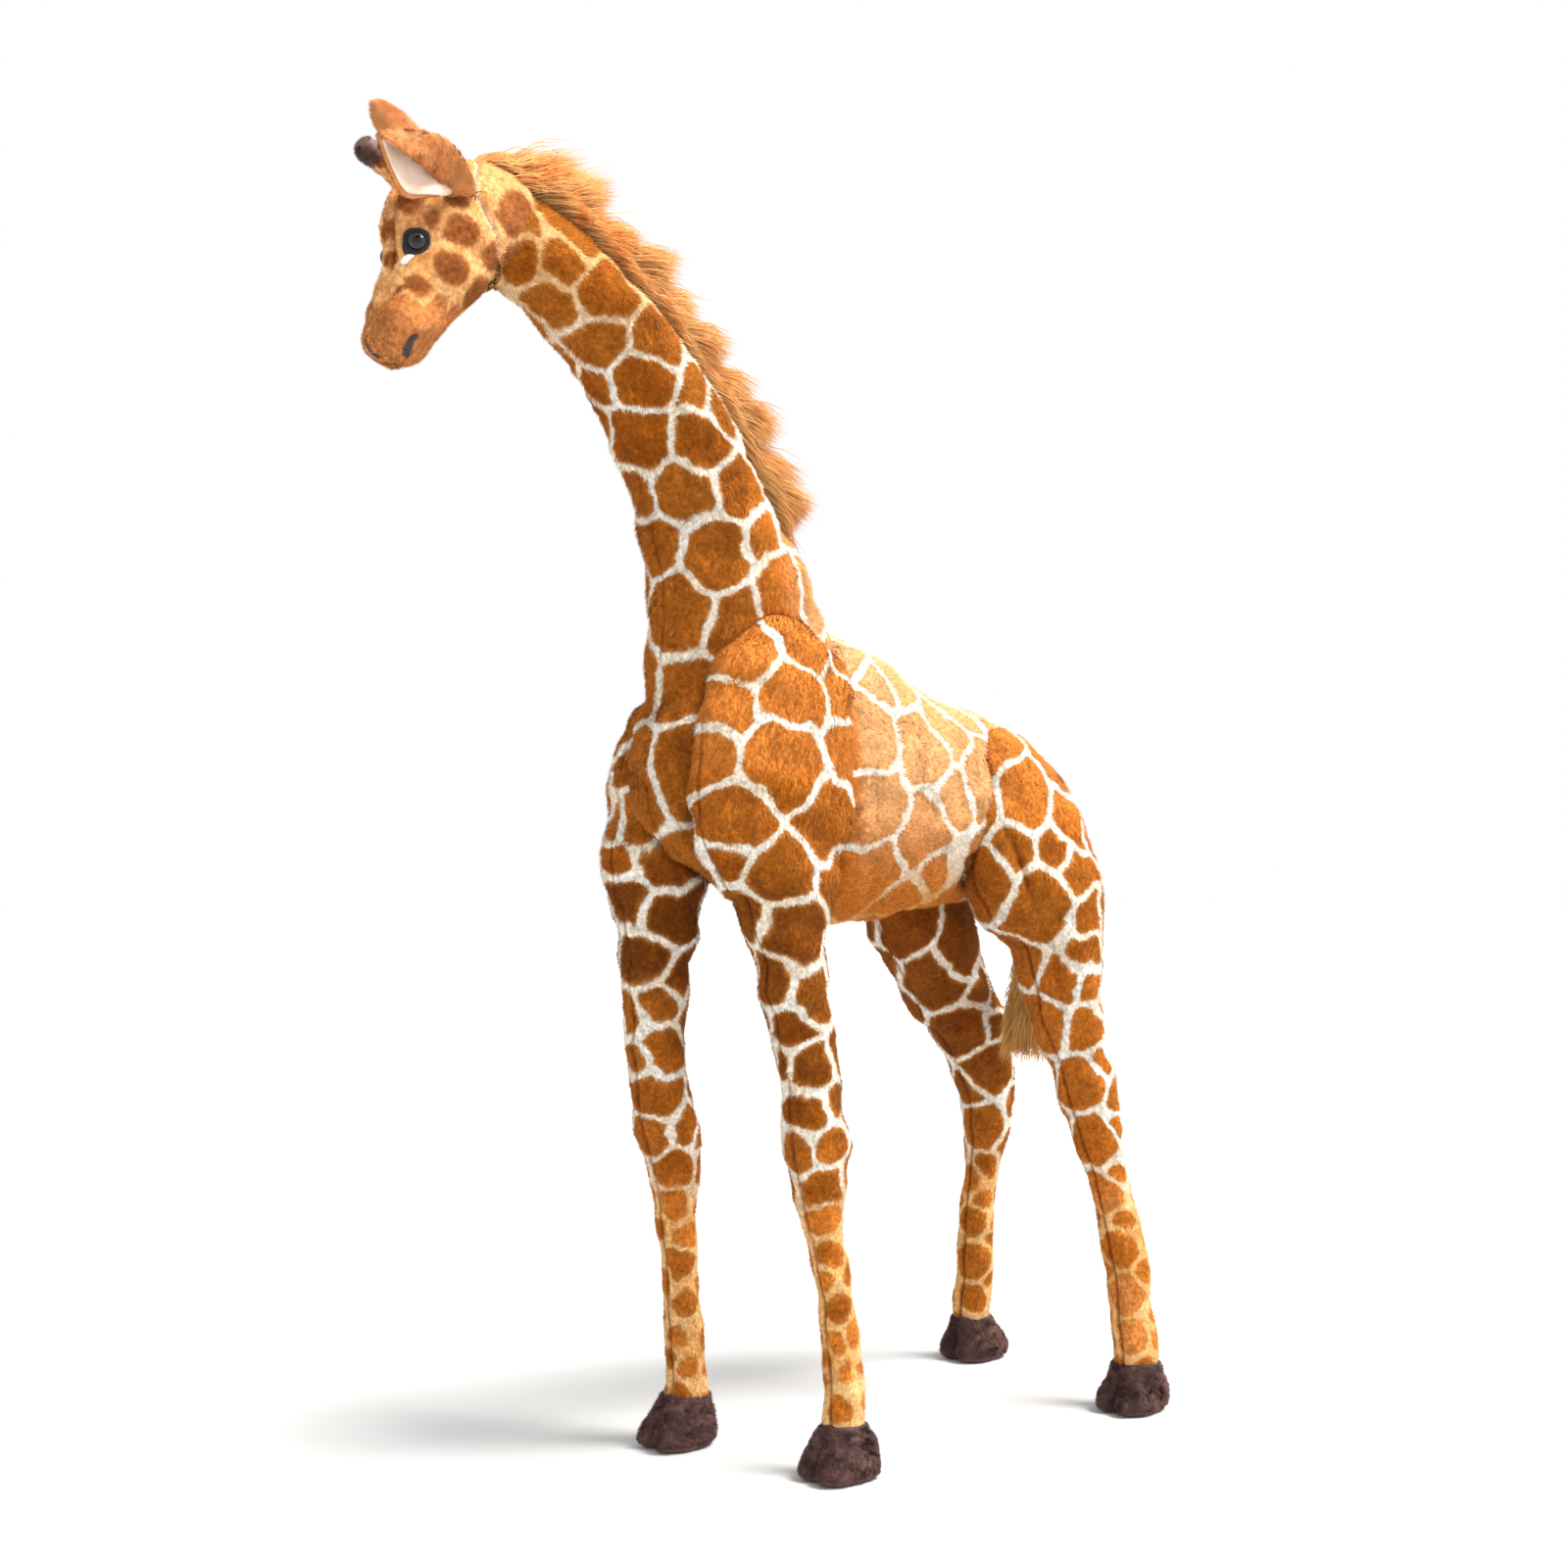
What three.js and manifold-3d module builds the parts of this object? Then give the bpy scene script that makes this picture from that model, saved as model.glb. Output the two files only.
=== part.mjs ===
// Standing plush giraffe, about 0.8 m tall: sewn plush skins over fibre stuffing on a bent steel wire frame.
// Millimetres, +Z up. The giraffe faces -Y and its left side is +X. Z = 0 is the floor under the hooves.
import * as THREE from 'three';
import { mergeVertices } from 'three/addons/utils/BufferGeometryUtils.js';
import Module from 'manifold-3d';

const wasm = await Module();
wasm.setup();

// ---- driving dimensions -------------------------------------------------------------------------------------------
const SHIFT_X = 0.0;          // from the body's own middle plane to the row's X = 0
const SHIFT_Y = 133.364;       // stations are measured forwards from mid-wheelbase; Y = SHIFT_Y - station
const SKIN = 2.5;             // plush fabric with its pile pressed flat
const GAP = 0.3;              // between touching pieces
const WIRE_R = 1.6;           // leg wire radius
const SPINE_R = 2.0;          // spine and neck wire radius
const BORE = 1.8;             // clearance round a wire in the stuffing
const NECK_PIVOT = [150, 450];      // station, height: where the neck wire bends off the spine
const DOME_R = 90;                  // the chest's top is inside this radius about the neck pivot
const NECK_RANGE = 8;               // degrees each way
const TWIST_POINT = [215, 636];     // station, height of the neck's twist plane
const TWIST_AXIS = [0.567, 0.8237]; // station, height: along the neck there
const HEAD_PIVOT = [352, 735];      // station, height of the nod axis, in the head seam
const NOD_R = 28.6;                 // rounded end of the neck inside the head's opening
const FRONT_HIP = [168, 445];       // station, height of the front legs' hip axis
const HIND_HIP = [-50, 405];        // station, height of the hind legs' hip axis
const PAD_IN = 30;                  // inner plane of the leg tops, from the middle plane
const HIP_RANGE = 8;
const HOOF_TOP = 30;

// ---- section tables: [x from the middle plane, station, height, half width, half depth] ---------------------------
const TORSO = [[0,-122,410,8,10],[0,-116,410,26,30],[0,-104,411,40,45],[0,-84,413,50,56],[0,-60,415,55,62],[0,-30,418,58,67],[0,5,419,60,73],
  [0,40,422,62,83],[0,75,428,62,92],[0,110,435,60,95],[0,145,442,56,88],[0,180,445,50,78],[0,208,446,40,62],[0,226,448,26,42],[0,235,450,8,16]];
const NECK = [[0,152,440,46,70],[0,156,480,46,70],[0,162,512,45,67],[0,171,545,43,58],[0,184,576,40,47],[0,198,606,37,41],[0,215,636,34.5,37],
  [0,240,667,32,34],[0,269,695,30,31.5],[0,300,717,28.5,29.5],[0,330,732,27,28.2],[0,352,738,26,27.6],[0,380,746,26,27.6]];
// the head's stations and heights are measured from the nod axis; a sixth number narrows the section towards the forehead
const HEAD = [[0,-16,5,24,29,0],[0,-4,5,27,31.5,0],[0,10,4,29,35,.05],[0,27,-4,30,38.5,.18],[0,40.5,-29,27,29.5,.26],[0,53,-53,22.5,20.5,.16],[0,59.5,-67,22.5,17,0],
  [0,62.5,-76.5,18.5,15,-.05],[0,64.5,-84,8,7,0]];
const LEGS = {
  front_left: { side: 1, hip: FRONT_HIP, clip: 325, hoof: [62, 133], rows: [[38,146,526,8,10],[38,150,518,18,32],[40,155,500,25,48],[42,164,472,30,59],[42,169,440,31,64],
    [42,170,405,31,62],[43,168,380,30,52],[44,164,360,29,38],[45.2,164,345,27,30],[46,163,330,23.5,25],[47.6,158,299,22,23],[49,151,268,20,21],[51,147,237,19,20],
    [52.6,144,206,20,21],[54,142,176,16,17],[55.3,140,156,12.5,13],[57,135,126,12,12.5],[58.5,131,95,13,13],[60,129,65,13,13],[62,129,29,13.6,13.6]] },
  front_right: { side: -1, hip: FRONT_HIP, clip: 325, hoof: [62, 158], rows: [[36,140,512,8,10],[37,141,504,16,24],[39,144,488,24,36],[41,154,462,29,48],[42,167,432,31,56],
    [42,178,402,31,54],[43,190,375,30,40],[45,190,350,28,30],[46,189,335,26,26],[48,188.5,297,21.5,22],[50,186,256,18.5,19],[51,182.5,235,18.5,19],[52.2,177,214,20,20.5],
    [53.1,172,196,20,20],[54.2,169,177,16.5,17],[56,165,144,13,13.5],[57.6,160,112,13,13],[59.4,155.5,80,13.5,13.5],[61,152,47,13.5,13.5],[62.3,151.5,24,14.5,14.5]] },
  hind_left: { side: 1, hip: HIND_HIP, clip: 315, hoof: [88, -127], rows: [[36,-34,466,8,10],[37,-36,459,17,24],[39,-40,442,25,38],[43,-46,420,30,48],[46,-54,397,33,54],
    [50,-64,370,35,56],[54,-77,345,35,46],[57,-82,325,32,36],[58,-83,308,30,31],[60,-84,293,28,29],[62.6,-88,268,24.5,25],[65.2,-96,244,21,22],[67.7,-102.7,220,21,22],
    [70.4,-108.6,195,18.6,19],[73,-115,170,15.5,16],[75.6,-120.5,146,14.5,15],[78.2,-125.8,121.6,15,15.5],[81,-129,97,15.5,16],[83.4,-130,73,14.6,15],[87.7,-131,29,15.5,16]] },
  hind_right: { side: -1, hip: HIND_HIP, clip: 315, hoof: [88, -162], rows: [[36,-34,466,8,10],[37,-36,459,17,24],[39,-39,442,25,38],[43,-44,420,30,48],[46,-49,397,33,54],
    [50,-56,370,35,54],[54,-66,340,35,46],[57.8,-81,313,32,37],[60.6,-99,286.5,30,34],[63.6,-125.6,259,27,30],[66.5,-143.8,231,23.5,26],[69.4,-152,204.7,21,22],
    [72.3,-156.5,177.4,18.5,19],[75.1,-155.8,150.5,13.7,14],[77.9,-154,124.4,13.4,13.6],[80.8,-154.4,97.2,13.8,13.8],[83.8,-157,69.7,14.2,14.2],[88,-158,29,14.6,14.6]] },
};

// ---- materials ------------------------------------------------------------------------------------------------------
const mat = (hex, roughness, metalness = 0) => () => new THREE.MeshStandardMaterial({ color: hex, roughness, metalness });
const PLUSH = mat(0xb8692f, 0.95), HEADFUR = mat(0xc98445, 0.95), FILL = mat(0xf1efe8, 1.0), STEEL = mat(0x9a9da2, 0.45, 0.9), HOOF = mat(0x54403d, 0.95),
  MANE = mat(0xe39a45, 0.95), LINING = mat(0xe9ded1, 0.9), EYE = mat(0x0b0b0d, 0.08), WASHER = mat(0xe6e6e2, 0.5), FELT_DARK = mat(0x1b1718, 0.95),
  FELT_WHITE = mat(0xf2efe8, 0.95), TIP = mat(0x5a4a46, 0.95);

// ---- helpers --------------------------------------------------------------------------------------------------------
const rad = (d) => d * Math.PI / 180;
const P = (x, s, z) => new THREE.Vector3(x + SHIFT_X, SHIFT_Y - s, z);

// Cubic interpolation of the section rows at n even steps of path length.
function resample(rows, n) {
  const m = rows.length, t = [0];
  for (let i = 1; i < m; i++) t.push(t[i - 1] + Math.hypot(rows[i][0] - rows[i - 1][0], rows[i][1] - rows[i - 1][1], rows[i][2] - rows[i - 1][2]));
  const slope = rows.map((r, i) => r.map((v, k) => {
    if (i === 0) return (rows[1][k] - v) / (t[1] - t[0]);
    if (i === m - 1) return (v - rows[m - 2][k]) / (t[m - 1] - t[m - 2]);
    const h0 = t[i] - t[i - 1], h1 = t[i + 1] - t[i];
    return ((v - rows[i - 1][k]) / h0 * h1 + (rows[i + 1][k] - v) / h1 * h0) / (h0 + h1);
  }));
  const out = [];
  for (let j = 0; j < n; j++) {
    const x = t[m - 1] * j / (n - 1);
    let i = 0;
    while (i < m - 2 && x > t[i + 1]) i++;
    const h = t[i + 1] - t[i], s = (x - t[i]) / h;
    out.push(rows[i].map((v, k) => (2 * s ** 3 - 3 * s ** 2 + 1) * v + (s ** 3 - 2 * s ** 2 + s) * h * slope[i][k] + (-2 * s ** 3 + 3 * s ** 2) * rows[i + 1][k] + (s ** 3 - s ** 2) * h * slope[i + 1][k]));
  }
  return out;
}

// A closed body of elliptical sections along the rows' path, as a solid. grow widens every section; cap [start, end] draws
// each end in along the path.
function loft(rows, n, seg, { side = 1, place = P, grow = 0, cap = [0, 0] } = {}) {
  const R = resample(rows, n), pos = [], idx = [];
  for (const [i, j, d] of [[0, 1, cap[0]], [n - 1, n - 2, cap[1]]]) {
    const L = Math.hypot(R[j][0] - R[i][0], R[j][1] - R[i][1], R[j][2] - R[i][2]);
    R[i] = R[i].map((v, k) => v + (R[j][k] - v) * d / L);
  }
  for (const r of R) { r[3] = Math.max(1.2, r[3] + grow); r[4] = Math.max(1.2, r[4] + grow); }
  R.forEach((r, i) => {
    const a = R[Math.max(0, i - 1)], b = R[Math.min(n - 1, i + 1)];
    const T = new THREE.Vector3((b[0] - a[0]) * side, -(b[1] - a[1]), b[2] - a[2]).normalize();
    const U = new THREE.Vector3(1, 0, 0).addScaledVector(T, -T.x).normalize(), W = new THREE.Vector3().crossVectors(T, U);
    const C = place(r[0] * side, r[1], r[2]);
    for (let j = 0; j < seg; j++) {
      const th = 2 * Math.PI * j / seg, q = C.clone().addScaledVector(U, r[3] * Math.cos(th) * (1 - (r[5] || 0) * Math.sin(th))).addScaledVector(W, r[4] * Math.sin(th));
      pos.push(q.x, q.y, q.z);
    }
  });
  for (let i = 0; i < n - 1; i++) for (let j = 0; j < seg; j++) {
    const a = i * seg + j, b = i * seg + (j + 1) % seg;
    idx.push(a, b, b + seg, a, b + seg, a + seg);
  }
  for (const [ring, flip] of [[0, true], [n - 1, false]]) {
    const r = R[ring], c = place(r[0] * side, r[1], r[2]);
    pos.push(c.x, c.y, c.z);
    const k = pos.length / 3 - 1;
    for (let j = 0; j < seg; j++) {
      const a = ring * seg + j, b = ring * seg + (j + 1) % seg;
      idx.push(...(flip ? [k, b, a] : [k, a, b]));
    }
  }
  const g = new THREE.BufferGeometry();
  g.setAttribute('position', new THREE.BufferAttribute(new Float32Array(pos), 3));
  g.setIndex(idx);
  return solid(g);
}

// A three.js geometry as a solid, with its faces pointing out.
function solid(geometry) {
  let g = geometry.clone();
  g.deleteAttribute('normal'); g.deleteAttribute('uv');
  g = mergeVertices(g, 1e-4);
  const v = g.attributes.position.array;
  let tri = Array.from(g.index.array), keep = [], vol = 0;
  for (let i = 0; i < tri.length; i += 3) {
    const [a, b, c] = [tri[i], tri[i + 1], tri[i + 2]];
    if (a === b || b === c || a === c) continue;
    keep.push(a, b, c);
    vol += v[3 * a] * (v[3 * b + 1] * v[3 * c + 2] - v[3 * b + 2] * v[3 * c + 1]) - v[3 * a + 1] * (v[3 * b] * v[3 * c + 2] - v[3 * b + 2] * v[3 * c])
      + v[3 * a + 2] * (v[3 * b] * v[3 * c + 1] - v[3 * b + 1] * v[3 * c]);
  }
  if (vol < 0) for (let i = 0; i < keep.length; i += 3) [keep[i + 1], keep[i + 2]] = [keep[i + 2], keep[i + 1]];
  return new wasm.Manifold(new wasm.Mesh({ numProp: 3, vertProperties: new Float32Array(v), triVerts: new Uint32Array(keep) }));
}
function geometryOf(s) {
  const m = s.getMesh(), g = new THREE.BufferGeometry();
  g.setAttribute('position', new THREE.BufferAttribute(new Float32Array(m.vertProperties), 3));
  g.setIndex(new THREE.BufferAttribute(new Uint32Array(m.triVerts), 1));
  return g;
}
const moved = (geometry, matrix) => geometry.clone().applyMatrix4(matrix);

// A prism along X over a polygon of [station, height] points.
function prism(points, x0, x1) {
  const shape = new THREE.Shape(points.map(([s, z]) => new THREE.Vector2(SHIFT_Y - s, z)));
  const g = new THREE.ExtrudeGeometry(shape, { depth: x1 - x0, bevelEnabled: false });
  g.applyMatrix4(new THREE.Matrix4().makeBasis(new THREE.Vector3(0, 1, 0), new THREE.Vector3(0, 0, 1), new THREE.Vector3(1, 0, 0)));
  g.translate(x0 + SHIFT_X, 0, 0);
  return solid(g);
}
const arc = (c, r, a0, a1, step = 8) => {
  const n = Math.max(2, Math.ceil(Math.abs(a1 - a0) / step)), out = [];
  for (let i = 0; i <= n; i++) { const a = rad(a0 + (a1 - a0) * i / n); out.push([c[0] + r * Math.cos(a), c[1] + r * Math.sin(a)]); }
  return out;
};
function hull(pts) {
  const p = [...pts].sort((a, b) => a[0] - b[0] || a[1] - b[1]), cross = (o, a, b) => (a[0] - o[0]) * (b[1] - o[1]) - (a[1] - o[1]) * (b[0] - o[0]);
  const half = (list) => { const h = []; for (const q of list) { while (h.length > 1 && cross(h[h.length - 2], h[h.length - 1], q) <= 0) h.pop(); h.push(q); } h.pop(); return h; };
  return [...half(p), ...half([...p].reverse())];
}
function thinned(poly, least) {
  const out = [];
  for (const q of poly) if (!out.length || Math.hypot(q[0] - out[out.length - 1][0], q[1] - out[out.length - 1][1]) > least) out.push(q);
  return out;
}
// A round bar through the given points.
function bar(points, r, seg = 8, steps = 12) {
  const path = new THREE.CatmullRomCurve3(points, false, 'centripetal');
  const shape = new THREE.Shape();
  for (let j = 0; j < seg; j++) { const a = 2 * Math.PI * j / seg; j ? shape.lineTo(r * Math.cos(a), r * Math.sin(a)) : shape.moveTo(r, 0); }
  shape.closePath();
  return new THREE.ExtrudeGeometry(shape, { steps, extrudePath: path, bevelEnabled: false });
}
const crossbar = (x0, x1, s, z, r, seg = 10) => {
  const g = new THREE.CylinderGeometry(r, r, x1 - x0, seg);
  g.rotateZ(Math.PI / 2); g.translate((x0 + x1) / 2 + SHIFT_X, SHIFT_Y - s, z);
  return g;
};
// A lathe profile [radius, along], turned so its axis runs along dir from at.
function turned(profile, at, dir, seg = 16) {
  const g = new THREE.LatheGeometry(profile.map(([r, h]) => new THREE.Vector2(r, h)), seg);
  g.applyQuaternion(new THREE.Quaternion().setFromUnitVectors(new THREE.Vector3(0, 1, 0), dir.clone().normalize()));
  g.translate(at.x, at.y, at.z);
  return g;
}
const block = (x0, x1, s0, s1, z0, z1) => { const g = new THREE.BoxGeometry(x1 - x0, s1 - s0, z1 - z0); g.translate((x0 + x1) / 2 + SHIFT_X, SHIFT_Y - (s0 + s1) / 2, (z0 + z1) / 2); return solid(g); };

const giraffe = new THREE.Group();
function add(name, shape, material, group = giraffe) {
  const g = shape.isBufferGeometry ? shape : geometryOf(shape);
  const mesh = new THREE.Mesh(g, material());
  mesh.name = name;
  group.add(mesh);
  return mesh;
}

// ---- shared cutters -------------------------------------------------------------------------------------------------
const domePoly = (r, a0, a1) => [...arc(NECK_PIVOT, r, a0, a1), ...arc(NECK_PIVOT, 170, a1, a0, 40)];
// space that the neck's foot sweeps over the chest
const neckSweep = prism(domePoly(DOME_R, 14, 128), -80, 80);
// everything of the neck within the chest's dome
const domeCore = (r) => prism(arc(NECK_PIVOT, r, 8, 134).concat([[50, 500], [50, 350], [245, 350]]), -90, 90);
// half space on one side of the twist plane
function twistSide(sign, gap) {
  const g = new THREE.BoxGeometry(400, 400, 400);
  g.translate(0, 0, sign * (200 - gap));
  const T = new THREE.Vector3(0, -TWIST_AXIS[0], TWIST_AXIS[1]);
  g.applyQuaternion(new THREE.Quaternion().setFromUnitVectors(new THREE.Vector3(0, 0, 1), T));
  const c = P(0, TWIST_POINT[0], TWIST_POINT[1]);
  g.translate(c.x, c.y, c.z);
  return solid(g);
}
const aboveTwist = twistSide(1, GAP), belowTwist = twistSide(-1, GAP);
// what lies beyond the rounded end of the neck
const neckDir = Math.atan2(12, 44);
function beyondNeckEnd(r) {
  const c = HEAD_PIVOT, d = [Math.cos(neckDir), Math.sin(neckDir)], n = [-d[1], d[0]];
  const at = (u, v) => [c[0] + u * d[0] + v * n[0], c[1] + u * d[1] + v * n[1]];
  const box = prism([at(0, -90), at(90, -90), at(90, 90), at(0, 90)], -70, 70);
  return box.subtract(prism(arc(c, r, 0, 348, 12), -80, 80));
}

// ---- leg tops and the room they sweep ---------------------------------------------------------------------------------
function sideOutline(rows, lowest) {
  const pts = [], R = resample(rows, 40);
  R.forEach((r, i) => {
    const a = R[Math.max(0, i - 1)], b = R[Math.min(39, i + 1)], L = Math.hypot(b[1] - a[1], b[2] - a[2]), ws = (b[2] - a[2]) / L, wz = -(b[1] - a[1]) / L;
    for (const k of [-1, 1]) if (r[2] + k * r[4] * wz > lowest - 4) pts.push([r[1] + k * r[4] * ws, r[2] + k * r[4] * wz]);
  });
  return pts;
}
function pocket(leg, clearance) {
  const pts = [], [hs, hz] = leg.hip;
  for (const [s, z] of sideOutline(leg.rows, leg.clip)) for (let k = -2; k <= 2; k++) {
    const a = rad(HIP_RANGE * k / 2), ds = s - hs, dz = z - hz;
    const q = [hs + ds * Math.cos(a) - dz * Math.sin(a), hz + ds * Math.sin(a) + dz * Math.cos(a)];
    for (let j = 0; j < 6; j++) pts.push([q[0] + clearance * Math.cos(j * Math.PI / 3), q[1] + clearance * Math.sin(j * Math.PI / 3)]);
  }
  return thinned(hull(pts), 14);
}
function pockets(clearance, inner) {
  let s = null;
  for (const leg of Object.values(LEGS)) {
    const p = prism(pocket(leg, clearance), leg.side > 0 ? inner : -140, leg.side > 0 ? 140 : -inner);
    s = s ? s.add(p) : p;
  }
  return s;
}

// ---- torso ------------------------------------------------------------------------------------------------------------
{
  // the chest rises into a round top that the neck's foot turns over
  const hull3 = (d, room) => loft(TORSO, 11, 12, { grow: -d, cap: [d, d] }).add(loft(NECK, 10, 12, { grow: -d }).intersect(domeCore(DOME_R - d)))
    .subtract(pockets(2.2 + room, PAD_IN - 0.5 - room)).subtract(prism(domePoly(DOME_R - d, 8, 134), -90, 90));
  const neckHole = bar([P(0, 148, 500), P(0, 168, 560)], 26, 14, 2);
  let skin = hull3(0, 0).subtract(hull3(SKIN, SKIN)).subtract(solid(neckHole)).subtract(solid(bar([P(0, -90, 436), P(0, -135, 436)], 2.4, 8, 2)));
  for (const [s, z] of [FRONT_HIP, HIND_HIP]) skin = skin.subtract(solid(crossbar(-40, 40, s, z, 3.0, 8)));
  add('torso_skin', skin, PLUSH);

  const spine = [[-92, 411], [-50, 412.2], [0, 418], [60, 427], [110, 434], [150, 437], [178, 438.2]].map(([s, z]) => P(0, s, z));
  const g = SKIN + GAP;
  let fill = hull3(g, g).subtract(solid(bar(spine, 6.6, 6, 8)));
  for (const [s, z] of [FRONT_HIP, HIND_HIP]) fill = fill.subtract(solid(crossbar(-45, 45, s, z, 3.0, 6)));
  // slot in which the neck wire leans fore and aft
  fill = fill.subtract(prism([[144, 434], [157, 434], [184, 552], [142, 552]], -4, 4));
  add('torso_stuffing', fill, FILL);
  add('spine_wire', bar(spine, SPINE_R, 6, 12), STEEL);
  add('front_crossbar', crossbar(-(PAD_IN - 3), PAD_IN - 3, ...FRONT_HIP, WIRE_R), STEEL);
  add('hind_crossbar', crossbar(-(PAD_IN - 3), PAD_IN - 3, ...HIND_HIP, WIRE_R), STEEL);
  const ring = [[SPINE_R + 0.8, -4], [4.6, -4], [4.6, 4], [SPINE_R + 0.8, 4], [SPINE_R + 0.8, -4]];
  add('front_wire_sleeve', turned(ring, P(0, 167, 437.75), new THREE.Vector3(0, -1, 0.045), 10), STEEL);
  add('hind_wire_sleeve', turned(ring, P(0, -50, 412.3), new THREE.Vector3(0, -1, 0.07), 10), STEEL);
}

// ---- neck -------------------------------------------------------------------------------------------------------------
{
  const foot = domeCore(DOME_R + 0.6), end = beyondNeckEnd(NOD_R), endIn = beyondNeckEnd(NOD_R - SKIN), endFill = beyondNeckEnd(NOD_R - SKIN - GAP);
  const outer = loft(NECK, 10, 12), inner = loft(NECK, 10, 12, { grow: -SKIN }), fill = loft(NECK, 10, 12, { grow: -SKIN - GAP });
  const wireLow = [[150.5, 455], [154, 500], [163, 545], [185, 590], [214.5, 635.3]].map(([s, z]) => P(0, s, z));
  const wireHigh = [[215.6, 636.9], [245, 672], [285, 706], [325, 729], [352, 736], [377, 742]].map(([s, z]) => P(0, s, z));
  const boreLow = solid(bar([[150, 440], [150.5, 455], [154, 500], [163, 545], [185, 590], [217, 639]].map(([s, z]) => P(0, s, z)), SPINE_R + BORE, 6, 8));
  const boreHigh = solid(bar([[213, 633], [245, 672], [285, 706], [325, 729], [352, 736], [377, 742], [400, 747]].map(([s, z]) => P(0, s, z)), SPINE_R + BORE, 6, 8));
  add('neck_lower_skin', outer.subtract(foot).subtract(aboveTwist).subtract(inner), PLUSH);
  add('neck_lower_stuffing', fill.subtract(foot).subtract(aboveTwist).subtract(boreLow), FILL);
  add('neck_lower_wire', bar(wireLow, SPINE_R, 6, 7), STEEL);
  // the upper neck skin is closed at its rounded end, apart from the hole for the wire
  const upper = outer.subtract(belowTwist).subtract(end);
  const hollow = inner.subtract(endIn);
  add('neck_upper_skin', upper.subtract(hollow).subtract(solid(bar([P(0, 360, 738), P(0, 400, 747)], 5, 8, 2))), PLUSH);
  add('neck_upper_stuffing', fill.subtract(belowTwist).subtract(endFill).subtract(boreHigh), FILL);
  add('neck_upper_wire', bar(wireHigh, SPINE_R, 6, 8), STEEL);

  // mane: a ridge of long pile along the back of the neck
  const neckGrown = loft(NECK, 10, 12, { grow: GAP });
  const backOf = (s, z, ts, tz, out) => [s - tz * out, z + ts * out];
  const R = resample(NECK, 40).filter((r) => r[2] > 560 && r[1] < 333);
  const path = R.map((r, i) => {
    const a = R[Math.max(0, i - 1)], b = R[Math.min(R.length - 1, i + 1)], L = Math.hypot(b[1] - a[1], b[2] - a[2]);
    const end0 = Math.min(1, i / 3), q = backOf(r[1], r[2], (b[1] - a[1]) / L, (b[2] - a[2]) / L, r[4] + 6);
    return [0, q[0], q[1], 4 + 5 * end0, 8 + 8 * end0];
  });
  const mane = loft(path, 12, 8).subtract(neckGrown);
  add('mane_lower', mane.subtract(aboveTwist), MANE);
  add('mane_upper', mane.subtract(belowTwist), MANE);
}

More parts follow.
